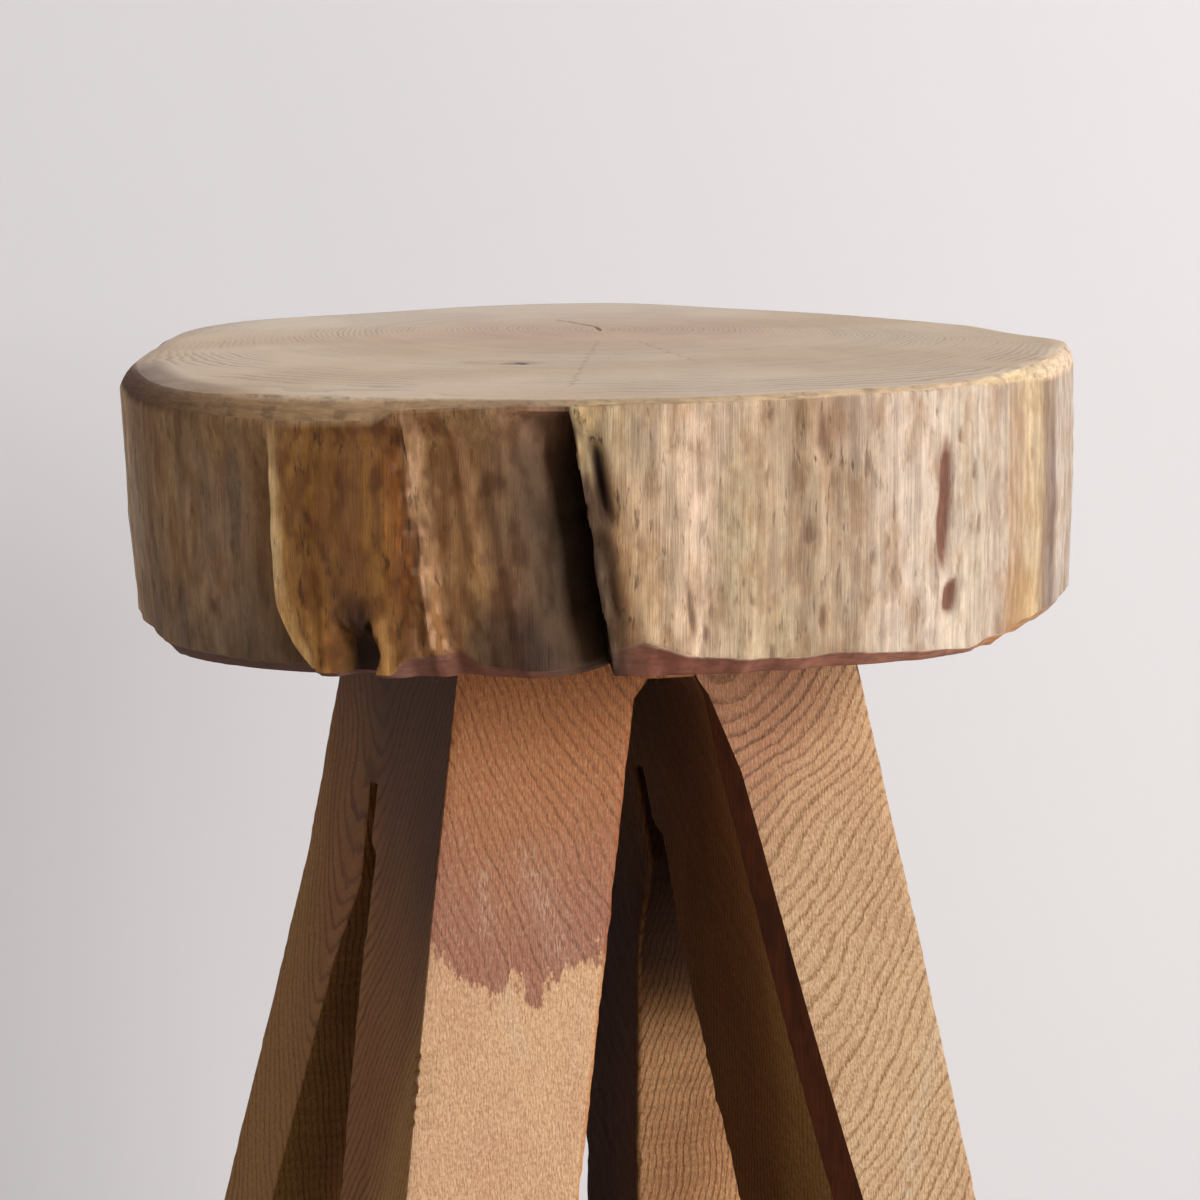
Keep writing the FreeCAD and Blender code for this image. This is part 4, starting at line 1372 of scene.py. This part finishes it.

# %% [markdown]
# Each point of the block carries a colour multiplier. The front and the faces right of the slot
# differ a little in tone. The rest is painted light and shade: painted shade on the outer face on
# the left, under the seat, on the slot walls and on the front rim of the slot, and painted light
# on the lower part of the back leg's wall in the cross slot, with painted shade above it.

# %% Tone, painted light and painted shade of each face of the block
TONE_FRONT = (0.98, 0.92, 0.88)             # the left half of the front
TONE_RIGHT = (0.86, 0.86, 0.82)             # everything right of the slot
SHADE_UNDER_SEAT = (0.86, 0.71, 0.50)         # painted shadow under the seat, left of the slot
SHADE_UNDER_SEAT_RIGHT = (0.86, 0.82, 0.75)   # and right of it
SHADE_LEFT = (0.68, 0.56, 0.32)              # painted shade on the outer face on the left
TONE_LEFT_TOP = (0.20, 0.145, 0.08)         # its upper part, in the seat's shade
SHADE_SLOT = (0.48, 0.40, 0.19)              # painted shade on the slot walls
SHADE_SLOT_BACK = (0.15, 0.07, 0.01)         # deeper painted shade on the slot walls behind the cross slot
SHADE_SLOT_TOP = (0.45, 0.35, 0.145)         # painted shade on the slot walls near their ceiling
LIGHT_ON_BACK_WALL = (1.5, 1.5, 1.2)            # painted light on the lower part of the back leg's wall
SHADE_ON_BACK_WALL = (0.12, 0.08, 0.04)             # painted shade on the same wall higher up
SHADE_SLOT_EDGE = (0.85, 0.58, 0.34)         # painted shade on the rim of the slot on the front face


def tone_mix(tone, mask, shade):
    """Blend a colour multiplier over the tone, as far as the mask says."""
    mask = np.clip(np.asarray(mask, float), 0, 1)[:, None]
    return tone * (1 - mask) + np.array(shade) * mask


def paint_tone():
    """Colour multiplier of each point of the skin, from the broadest area to the smallest."""
    z = skin[:, 2]
    drift = ripple(skin, (20, 20, 40), 47)
    tone = np.tile(np.array(TONE_FRONT), (len(skin), 1))
    tone = tone_mix(tone, grid_i > gap_end, TONE_RIGHT)
    # From here the tone is painted shade and painted light: shade under the seat, on the left face
    # and on the slot walls, and light on the lower part of the back leg's wall.
    near_seat = soft_step(z + 8 * drift, 262, 345)
    tone = tone_mix(tone, near_seat * (grid_i <= gap_end), SHADE_UNDER_SEAT)
    tone = tone_mix(tone, near_seat * (grid_i > gap_end), SHADE_UNDER_SEAT_RIGHT)
    on_left = (grid_i == 0) & (grid_j > 0)
    tone = tone_mix(tone, on_left, SHADE_LEFT)
    upper_left = soft_step(z + 8 * drift - 0.5 * skin[:, 1], 235, 340)
    tone = tone_mix(tone, on_left * upper_left, TONE_LEFT_TOP)
    inside = on_wall & (grid_j > 0)
    tone = tone_mix(tone, inside, SHADE_SLOT)
    tone = tone_mix(tone, inside & (grid_j > kerf_end), SHADE_SLOT_BACK)
    tone = tone_mix(tone, inside * soft_step(z, 240, 300), SHADE_SLOT_TOP)
    back_wall = on_wall & (grid_j == kerf_end) & (grid_i > gap_end)
    tone = tone_mix(tone, back_wall * (1 - soft_step(z + 5 * drift, 186, 222)), LIGHT_ON_BACK_WALL)
    tone = tone_mix(tone, back_wall * soft_step(z + 5 * drift, 202, 230), SHADE_ON_BACK_WALL)
    return tone_mix(tone, (grid_i == gap_start) & (grid_j == 0), SHADE_SLOT_EDGE)


base_tone = paint_tone()
print("tone from", base_tone.min().round(2), "to", base_tone.max().round(2))

# %% [markdown]
# The skin now becomes the mesh. Three finishes share it: planed faces, rough slot walls with
# painted shade, and the planed corner, reddish brown with painted shade. The left front leg's face
# is marked bold, because its rings and its red heartwood limit stand out more sharply than on the
# other faces.

# %% Base mesh
base = make_mesh("leg_base", to_frame(skin), [tuple(q) for q in quads.tolist()],
                 (block_face, slot_wall, corner_wood), slots, 32)
paint(base, "scraped", "FLOAT", scraped)
paint(base, "bold", "FLOAT", (grid_j == 0) & (grid_i <= gap_start))
paint(base, "tone", "FLOAT_COLOR", np.concatenate([base_tone, np.ones((len(skin), 1))], 1))
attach(base, "root")
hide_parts("leg_block")

# %% [markdown]
# ## Fixings
#
# What holds the stool together is made with Geometry Nodes, because each kind repeats and
# follows a rule: flutes round a dowel, a thread up a screw. Each tree takes points, one for every
# node of the frame that it stands for, builds one item from its named sizes, and sets a copy on
# every point. The result is turned into a plain mesh, because only plain meshes are exported.

# %% Helpers for node-made pieces
def points_at(name, nodes, share):
    """A mesh of one loose point per frame node; share 0 is the node's foot, 0.5 its middle."""
    spots = []
    for node in nodes:
        low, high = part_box(node)
        spots.append(((low.x + high.x) / 2, (low.y + high.y) / 2,
                      low.z + (high.z - low.z) * share))
    mesh = bpy.data.meshes.new(name)
    mesh.from_pydata(spots, [], [])
    piece = bpy.data.objects.new(name, mesh)
    bpy.context.scene.collection.objects.link(piece)
    return piece


def start_tree(name, sizes):
    """A geometry tree with a named input for each size, and its group input node."""
    tree = bpy.data.node_groups.new(name, "GeometryNodeTree")
    tree.interface.new_socket("Points", in_out="INPUT", socket_type="NodeSocketGeometry")
    for label, kind in sizes.items():
        tree.interface.new_socket(label, in_out="INPUT", socket_type="NodeSocket" + kind)
    tree.interface.new_socket("Finish", in_out="INPUT", socket_type="NodeSocketMaterial")
    tree.interface.new_socket("Geometry", in_out="OUTPUT", socket_type="NodeSocketGeometry")
    return tree, add(tree, "NodeGroupInput")


def end_tree(tree, group, item):
    """Set the item on every point, make it real and give it its finish."""
    copies = add(tree, "GeometryNodeInstanceOnPoints", None,
                 {"Points": group.outputs["Points"], "Instance": item})
    real = add(tree, "GeometryNodeRealizeInstances", None, {"Geometry": copies})
    done = add(tree, "GeometryNodeSetMaterial", None,
               {"Geometry": real, "Material": group.outputs["Finish"]})
    add(tree, "NodeGroupOutput", None, {"Geometry": done})


def grow(piece, tree, values, nodes, sharp_degrees=35):
    """Run the tree on the piece, keep the plain mesh, and put it in the frame."""
    modifier = piece.modifiers.new("build", "NODES")
    modifier.node_group = tree
    sockets = {item.name: item.identifier for item in tree.interface.items_tree
               if item.in_out == "INPUT"}
    for label, value in values.items():
        modifier[sockets[label]] = value
    graph = bpy.context.evaluated_depsgraph_get()
    plain = bpy.data.meshes.new_from_object(piece.evaluated_get(graph))
    piece.modifiers.remove(modifier)
    piece.data = plain
    plain.name = piece.name
    plain.shade_smooth()
    plain.set_sharp_from_angle(angle=math.radians(sharp_degrees))
    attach(piece, "root")
    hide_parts(*nodes)
    print(piece.name, "faces", len(plain.polygons),
          "size mm", [round(v / MM, 1) for v in piece.dimensions])
    return piece


# %% [markdown]
# The finishes of the fixings. The dowels are birch, turned and fluted: pale, close-grained and
# slightly silky. The screws and washers are steel with a thin grey zinc plating, so they are
# metallic but softly blurred. The glides are moulded brown polythene, with the fine
# stipple of the mould and a low shine.

# %% Finishes of the fixings
def fixing_finish(name, base, second, size, roughness, metallic, depth):
    """A two-tone finish whose pattern and bump come from one noise of a real size."""
    material, tree, shader, place = start_material(name)
    pattern = patches(tree, place, size, 0.38, 0.66, 3.0)
    shade = stain(tree, colour(base), pattern, second, 0.8)
    tree.links.new(shade, shader.inputs["Base Color"])
    bumped = add(tree, "ShaderNodeBump", None,
                 {"Height": pattern, "Strength": 0.4, "Distance": depth * MM})
    tree.links.new(bumped.outputs[0], shader.inputs["Normal"])
    uneven = add(tree, RANGE, None,
                 {"Value": pattern, "To Min": roughness - 0.06, "To Max": roughness + 0.08})
    tree.links.new(uneven.outputs[0], shader.inputs["Roughness"])
    shader.inputs["Metallic"].default_value = metallic
    return material


birch = fixing_finish("turned_birch", "dcc199", "c6a478", (0.5, 0.5, 6.0), 0.55, 0.0, 0.08)
zinc = fixing_finish("zinc_plated_steel", "b4b7ba", "94989c", (0.8, 0.8, 0.8), 0.36, 1.0, 0.03)
polythene = fixing_finish("moulded_polythene", "5a4231", "4b3628", (0.6, 0.6, 0.6),
                          0.48, 0.0, 0.06)
print("finishes", birch.name, zinc.name, polythene.name)

# %% [markdown]
# A furniture dowel is a short birch pin with flutes rolled into it, which let the spare glue
# out, and chamfered ends. The tree starts from a plain many-sided cylinder and moves its points:
# the flutes are a cosine round the axis, and the chamfer narrows the last millimetre.

# %% Fluted dowels
DOWEL_NODES = ["dowel_1", "dowel_2", "dowel_3", "dowel_4"]
dowel_low, dowel_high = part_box("dowel_1")

tree, group = start_tree("fluted_dowel", {"Radius": "Float", "Length": "Float",
                                          "Flutes": "Float", "Flute Depth": "Float",
                                          "Chamfer": "Float"})
blank = add(tree, "GeometryNodeMeshCylinder", None,
            {"Vertices": 120, "Side Segments": 24, "Radius": group.outputs["Radius"],
             "Depth": group.outputs["Length"]})
spot = add(tree, "GeometryNodeInputPosition")
axes = add(tree, "ShaderNodeSeparateXYZ", None, {0: spot})
bearing = add(tree, MATH, {"operation": "ARCTAN2"}, {0: axes.outputs[1], 1: axes.outputs[0]})
turns = add(tree, MATH, TIMES, {0: bearing, 1: group.outputs["Flutes"]})
wave = add(tree, MATH, {"operation": "COSINE"}, {0: turns})
wave = add(tree, MATH, TIMES_PLUS, {0: wave, 1: 0.5, 2: 0.5})
cut = add(tree, MATH, TIMES, {0: wave, 1: group.outputs["Flute Depth"]})
up = add(tree, MATH, {"operation": "ABSOLUTE"}, {0: axes.outputs[2]})
half_length = add(tree, MATH, TIMES, {0: group.outputs["Length"], 1: 0.5})
to_end = add(tree, MATH, MINUS, {0: half_length, 1: up})
missing = add(tree, MATH, MINUS, {0: group.outputs["Chamfer"], 1: to_end})
missing = add(tree, MATH, {"operation": "MAXIMUM"}, {0: missing, 1: 0.0})
cut = add(tree, MATH, PLUS, {0: cut, 1: missing})
cut = add(tree, MATH, OVER, {0: cut, 1: group.outputs["Radius"]})
keep = add(tree, MATH, MINUS, {0: 1.0, 1: cut})
narrowed = add(tree, "ShaderNodeCombineXYZ", None, {0: keep, 1: keep, 2: 1.0})
moved = add(tree, VECTOR, TIMES, {0: spot, 1: narrowed})
shaped = add(tree, "GeometryNodeSetPosition", None, {"Geometry": blank, "Position": moved})
end_tree(tree, group, shaped)
dowels = points_at("fluted_dowels", DOWEL_NODES, 0.5)
grow(dowels, tree, {"Radius": (dowel_high.x - dowel_low.x) / 2,
                    "Length": dowel_high.z - dowel_low.z, "Flutes": 24.0,
                    "Flute Depth": 0.35 * MM, "Chamfer": 1.0 * MM, "Finish": birch},
     DOWEL_NODES)

# %% [markdown]
# A lag screw is a coarse wood screw with a hexagon head. The thread is a helix: the radius
# at each point depends on its height plus its angle, counted in turns of the pitch. The lower
# part of the shank stays plain, and the last few millimetres taper to a point.

# %% Lag screws
SCREW_NODES = ["lag_screw_1", "lag_screw_2"]
SCREW_HEAD = 5.5 * MM
HEAD_ACROSS = 13.0 * MM

tree, group = start_tree("lag_screw", {"Head Width": "Float", "Head Height": "Float",
                                       "Radius": "Float", "Length": "Float",
                                       "Pitch": "Float", "Thread Depth": "Float",
                                       "Tip": "Float"})
corner_radius = add(tree, MATH, OVER, {0: group.outputs["Head Width"], 1: math.sqrt(3)})
head = add(tree, "GeometryNodeMeshCylinder", None,
           {"Vertices": 6, "Side Segments": 5, "Radius": corner_radius,
            "Depth": group.outputs["Head Height"]})
head_spot = add(tree, "GeometryNodeInputPosition")
head_axes = add(tree, "ShaderNodeSeparateXYZ", None, {0: head_spot})
chamfer = add(tree, RANGE, None, {"Value": head_axes.outputs[2], "From Min": -0.5 * SCREW_HEAD,
               "From Max": -0.28 * SCREW_HEAD, "To Min": 0.88, "To Max": 1.0})
chamfered = add(tree, "ShaderNodeCombineXYZ", None, {0: chamfer, 1: chamfer, 2: 1.0})
head_moved = add(tree, VECTOR, TIMES, {0: head_spot, 1: chamfered})
head = add(tree, "GeometryNodeSetPosition", None, {"Geometry": head, "Position": head_moved})
half_head = add(tree, MATH, TIMES, {0: group.outputs["Head Height"], 1: 0.5})
head_lift = add(tree, "ShaderNodeCombineXYZ", None, {2: half_head})
head = add(tree, "GeometryNodeTransform", None, {"Geometry": head, "Translation": head_lift,
            "Rotation": (0.0, 0.0, math.radians(30))})
shank = add(tree, "GeometryNodeMeshCylinder", None,
            {"Vertices": 24, "Side Segments": 200, "Radius": group.outputs["Radius"],
             "Depth": group.outputs["Length"]})
spot = add(tree, "GeometryNodeInputPosition")
axes = add(tree, "ShaderNodeSeparateXYZ", None, {0: spot})
bearing = add(tree, MATH, {"operation": "ARCTAN2"}, {0: axes.outputs[1], 1: axes.outputs[0]})
bearing = add(tree, MATH, OVER, {0: bearing, 1: 2 * math.pi})
turns = add(tree, MATH, OVER, {0: axes.outputs[2], 1: group.outputs["Pitch"]})
turns = add(tree, MATH, MINUS, {0: turns, 1: bearing})
valley = add(tree, MATH, {"operation": "PINGPONG"}, {0: turns, 1: 0.5})
valley = add(tree, RANGE, None, {"Value": valley, "From Min": 0.12, "From Max": 0.36})
threaded = add(tree, MATH, {"operation": "GREATER_THAN"}, {0: axes.outputs[2], 1: -8 * MM})
cut = add(tree, MATH, TIMES, {0: valley, 1: threaded})
cut = add(tree, MATH, TIMES, {0: cut, 1: group.outputs["Thread Depth"]})
cut = add(tree, MATH, OVER, {0: cut, 1: group.outputs["Radius"]})
half_length = add(tree, MATH, TIMES, {0: group.outputs["Length"], 1: 0.5})
to_tip = add(tree, MATH, MINUS, {0: half_length, 1: axes.outputs[2]})
point = add(tree, MATH, OVER, {0: to_tip, 1: group.outputs["Tip"]})
point = add(tree, MATH, TIMES_PLUS, {0: point, 1: 0.9, 2: 0.1})
point = add(tree, MATH, {"operation": "MINIMUM"}, {0: point, 1: 1.0})
keep = add(tree, MATH, MINUS, {0: point, 1: cut})
keep = add(tree, MATH, {"operation": "MAXIMUM"}, {0: keep, 1: 0.06})
narrowed = add(tree, "ShaderNodeCombineXYZ", None, {0: keep, 1: keep, 2: 1.0})
moved = add(tree, VECTOR, TIMES, {0: spot, 1: narrowed})
shank = add(tree, "GeometryNodeSetPosition", None, {"Geometry": shank, "Position": moved})
lift = add(tree, MATH, PLUS, {0: half_length, 1: group.outputs["Head Height"]})
shank_lift = add(tree, "ShaderNodeCombineXYZ", None, {2: lift})
shank = add(tree, "GeometryNodeTransform", None, {"Geometry": shank, "Translation": shank_lift})
whole = add(tree, "GeometryNodeJoinGeometry", None, {"Geometry": head})
tree.links.new(shank.outputs[0], whole.inputs[0])
end_tree(tree, group, whole)
screw_length = last_high.z - last_low.z - SCREW_HEAD
screws = points_at("lag_screws", SCREW_NODES, 0.0)
grow(screws, tree, {"Head Width": HEAD_ACROSS, "Head Height": SCREW_HEAD,
                    "Radius": 4.0 * MM, "Length": screw_length, "Pitch": 3.2 * MM,
                    "Thread Depth": 0.9 * MM, "Tip": 8.0 * MM, "Finish": zinc},
     SCREW_NODES)

# %% [markdown]
# Washers, glides and nails are all turned shapes: an outline swept once round an upright axis.
# The sweep is mesh code, since the outline is a list of points; one small tree then sets the
# turned item on every foot or screw, and can press grips into its rim.

# %% Turned shapes
def turned(name, outline, segments, holed):
    """Sweep (radius, height) points in mm round the axis; holed outlines close on themselves."""
    angles = np.arange(segments) * 2 * np.pi / segments
    rings = [np.stack([r * np.cos(angles), r * np.sin(angles), np.full(segments, z)], 1)
             for r, z in outline]
    points = np.concatenate(rings)
    number = np.arange(len(points)).reshape(len(outline), segments)
    following = np.roll(number, -1, axis=1)
    last = len(outline) if holed else len(outline) - 1
    faces = []
    for row in range(last):
        below = (row + 1) % len(outline)
        faces += np.stack([number[row], following[row], following[below], number[below]],
                          1).tolist()
    if not holed:
        faces += [number[0][::-1].tolist(), number[-1].tolist()]
    mesh = bpy.data.meshes.new(name)
    mesh.from_pydata((points * MM).tolist(), [], faces)
    item = bpy.data.objects.new(name, mesh)
    bpy.context.scene.collection.objects.link(item)
    return item


tree, group = start_tree("set_out", {"Item": "Object", "Grips": "Float",
                                     "Grip Depth": "Float", "Grip Radius": "Float"})
source = add(tree, "GeometryNodeObjectInfo", {"transform_space": "ORIGINAL"},
             {"Object": group.outputs["Item"]})
spot = add(tree, "GeometryNodeInputPosition")
axes = add(tree, "ShaderNodeSeparateXYZ", None, {0: spot})
flat = add(tree, "ShaderNodeCombineXYZ", None, {0: axes.outputs[0], 1: axes.outputs[1]})
out_from_axis = add(tree, VECTOR, {"operation": "LENGTH"}, {0: flat})
on_rim = add(tree, MATH, {"operation": "GREATER_THAN"},
             {0: out_from_axis.outputs["Value"], 1: group.outputs["Grip Radius"]})
bearing = add(tree, MATH, {"operation": "ARCTAN2"}, {0: axes.outputs[1], 1: axes.outputs[0]})
turns = add(tree, MATH, TIMES, {0: bearing, 1: group.outputs["Grips"]})
wave = add(tree, MATH, {"operation": "COSINE"}, {0: turns})
wave = add(tree, MATH, TIMES_PLUS, {0: wave, 1: -0.5, 2: -0.5})
press = add(tree, MATH, TIMES, {0: wave, 1: group.outputs["Grip Depth"]})
press = add(tree, MATH, TIMES, {0: press, 1: on_rim})
inward = add(tree, VECTOR, {"operation": "NORMALIZE"}, {0: flat})
offset = add(tree, VECTOR, {"operation": "SCALE"}, {0: inward, "Scale": press.outputs[0]})
gripped = add(tree, "GeometryNodeSetPosition", None,
              {"Geometry": source.outputs["Geometry"], "Offset": offset})
end_tree(tree, group, gripped)


def set_out(name, nodes, outline, segments, holed, finish, grips=(0.0, 0.0, 1.0)):
    """Turn one item and set it on the foot of each frame node."""
    item = turned(name + "_item", outline, segments, holed)
    piece = points_at(name, nodes, 0.0)
    grow(piece, tree, {"Item": item, "Grips": grips[0], "Grip Depth": grips[1] * MM,
                       "Grip Radius": grips[2] * MM, "Finish": finish}, nodes)
    bpy.data.objects.remove(item)
    return piece


# %% [markdown]
# The washer is a plain pressed ring, the glide a moulded disc with grips round its rim and a
# well for the nail's head, and the nail a short pin with a flat head. Each outline goes once
# round the shape's section, in (radius, height) millimetres.

# %% Washers, foot glides and nails
WASHER = ((4.05, 1.6), (4.05, 0.0), (7.7, 0.0), (8.0, 0.3), (8.0, 1.3), (7.7, 1.6))
GLIDE = ((1.2, 4.0), (1.2, 2.2), (3.0, 2.2), (3.0, 1.0), (3.6, 1.0), (3.6, 0.15), (3.8, 0.0),
         (10.7, 0.0), (11.3, 0.16), (11.8, 0.6), (12.0, 1.2), (12.0, 2.6), (12.0, 4.0))
NAIL = ((0.1, 18.9), (0.35, 17.8), (1.2, 15.8), (1.2, 1.2), (2.8, 1.2), (3.0, 1.0),
        (3.0, 0.35), (2.6, 0.12), (1.6, 0.02), (0.6, 0.0))
set_out("plated_washers", ["washer_1", "washer_2"], WASHER, 48, True, zinc)
feet = [1, 2, 3, 4]
set_out("foot_glides", [f"glide_{n}" for n in feet], GLIDE, 144, True, polythene,
        (36.0, 0.35, 11.9))
set_out("glide_nails_flat", [f"glide_nail_{n}" for n in feet], NAIL, 32, False, zinc)

# %% [markdown]
# ## Studio
#
# The stool is looked at from a little above the seat, through a long lens, which keeps its
# upright lines upright.

# %% Camera
CAMERA_PLACE = (-0.6128, -1.6995, 0.635)
CAMERA_PITCH = 8.55      # degrees that the camera looks down
CAMERA_TURN = -20.03     # degrees round the vertical
FOCAL = 160.7            # mm on a 36 mm sensor

scene = bpy.context.scene
camera_data = bpy.data.cameras.new("camera")
camera_data.sensor_width = 36
camera_data.lens = FOCAL
camera_data.clip_start = 0.05
camera = bpy.data.objects.new("camera", camera_data)
camera.location = CAMERA_PLACE
camera.rotation_euler = (math.radians(90 - CAMERA_PITCH), 0, math.radians(CAMERA_TURN))
scene.collection.objects.link(camera)
scene.camera = camera
scene.view_settings.view_transform = "Standard"
print("camera at", CAMERA_PLACE)


# %% [markdown]
# A pale wall stands close behind the stool and catches the soft edge of its shadow. The wall
# can only be seen from the front, so the stool can be looked at from behind as well. The main
# light is a large soft window to the right of the viewer, with a second window further round
# to the side. A warm weak light stands for the rest of the room on the left, one overhead opens
# the top of the seat, and a small one behind reaches the walls of the slots.

# %% Wall, floor and lights
def stage_sheet(name, corners, code, glow, one_sided):
    """A flat sheet of the studio that gives back even light."""
    mesh = bpy.data.meshes.new(name)
    mesh.from_pydata(corners, [], [(0, 1, 2, 3)])
    material, tree, shader, place = start_material(name)
    grain = add(tree, "ShaderNodeTexNoise", None, {"Vector": place, "Scale": 3.0})
    soft = add(tree, RANGE, None, {"Value": grain, "To Min": 0.985, "To Max": 1.015})
    shade = add(tree, "ShaderNodeMix", {"data_type": "RGBA", "blend_type": "MULTIPLY"},
                {0: 1.0, 6: colour(code), 7: soft})
    tree.links.new(shade.outputs[2], shader.inputs["Base Color"])
    shader.inputs["Roughness"].default_value = 0.95
    shader.inputs["Emission Color"].default_value = colour(code)
    shader.inputs["Emission Strength"].default_value = glow
    if one_sided:
        seen = add(tree, "ShaderNodeNewGeometry").outputs["Backfacing"]
        clear = add(tree, "ShaderNodeBsdfTransparent")
        both = add(tree, "ShaderNodeMixShader", None, {0: seen, 1: shader, 2: clear})
        out = next(n for n in tree.nodes if n.type == "OUTPUT_MATERIAL")
        tree.links.new(both.outputs[0], out.inputs["Surface"])
    mesh.materials.append(material)
    sheet = bpy.data.objects.new(name, mesh)
    scene.collection.objects.link(sheet)
    sheet.visible_diffuse = not one_sided
    return sheet


WALL_BEHIND = 0.48
turn = math.radians(-CAMERA_TURN)
away = np.array([math.sin(turn), math.cos(turn)])
across = np.array([math.cos(turn), -math.sin(turn)])
foot = away * WALL_BEHIND
ends = [foot - across * 4, foot + across * 4]
wall_corners = [(*ends[0], 0), (*ends[1], 0), (*ends[1], 4), (*ends[0], 4)]
stage_sheet("wall", wall_corners, "d6d4d6", 0.24, True)
stage_sheet("floor", [(-12, -12, 0), (12, -12, 0), (12, 12, 0), (-12, 12, 0)],
            "cdc7c2", 0.0, False)


def soft_light(name, place, aim, size, watts, tone):
    """A square soft light that points at aim and is not seen itself."""
    data = bpy.data.lights.new(name, "AREA")
    data.size = size
    data.energy = watts
    data.color = colour(tone)[:3]
    lamp = bpy.data.objects.new(name, data)
    lamp.location = place
    look = (np.array(aim) - np.array(place)).tolist()
    lamp.rotation_euler = Vector(look).to_track_quat("-Z", "Y").to_euler()
    lamp.visible_camera = False
    scene.collection.objects.link(lamp)


KEY_AZIMUTH = math.radians(24)
KEY_AWAY = 2.5
key_place = (KEY_AWAY * math.sin(KEY_AZIMUTH), -KEY_AWAY * math.cos(KEY_AZIMUTH), 1.15)
soft_light("window", key_place, (0, 0, 0.38), 1.0, 40, "fffdfb")
soft_light("side_window", (2.2, -1.2, 0.55), (0, 0, 0.25), 0.9, 42, "fffdfb")
soft_light("room", (-2.4, -0.6, 0.9), (0, 0, 0.35), 1.2, 9, "fff0e4")
soft_light("overhead", (0.1, 0.0, 2.1), (0, 0, 0.45), 1.2, 12, "fbf9ff")
soft_light("behind", (0.35, 0.35, 1.5), (0, 0, 0.3), 0.5, 1.35, "fffdfb")
world = bpy.data.worlds.new("studio")
world.use_nodes = True
world.node_tree.nodes["Background"].inputs["Color"].default_value = colour("e9e4e4")
world.node_tree.nodes["Background"].inputs["Strength"].default_value = 0.05
scene.world = world
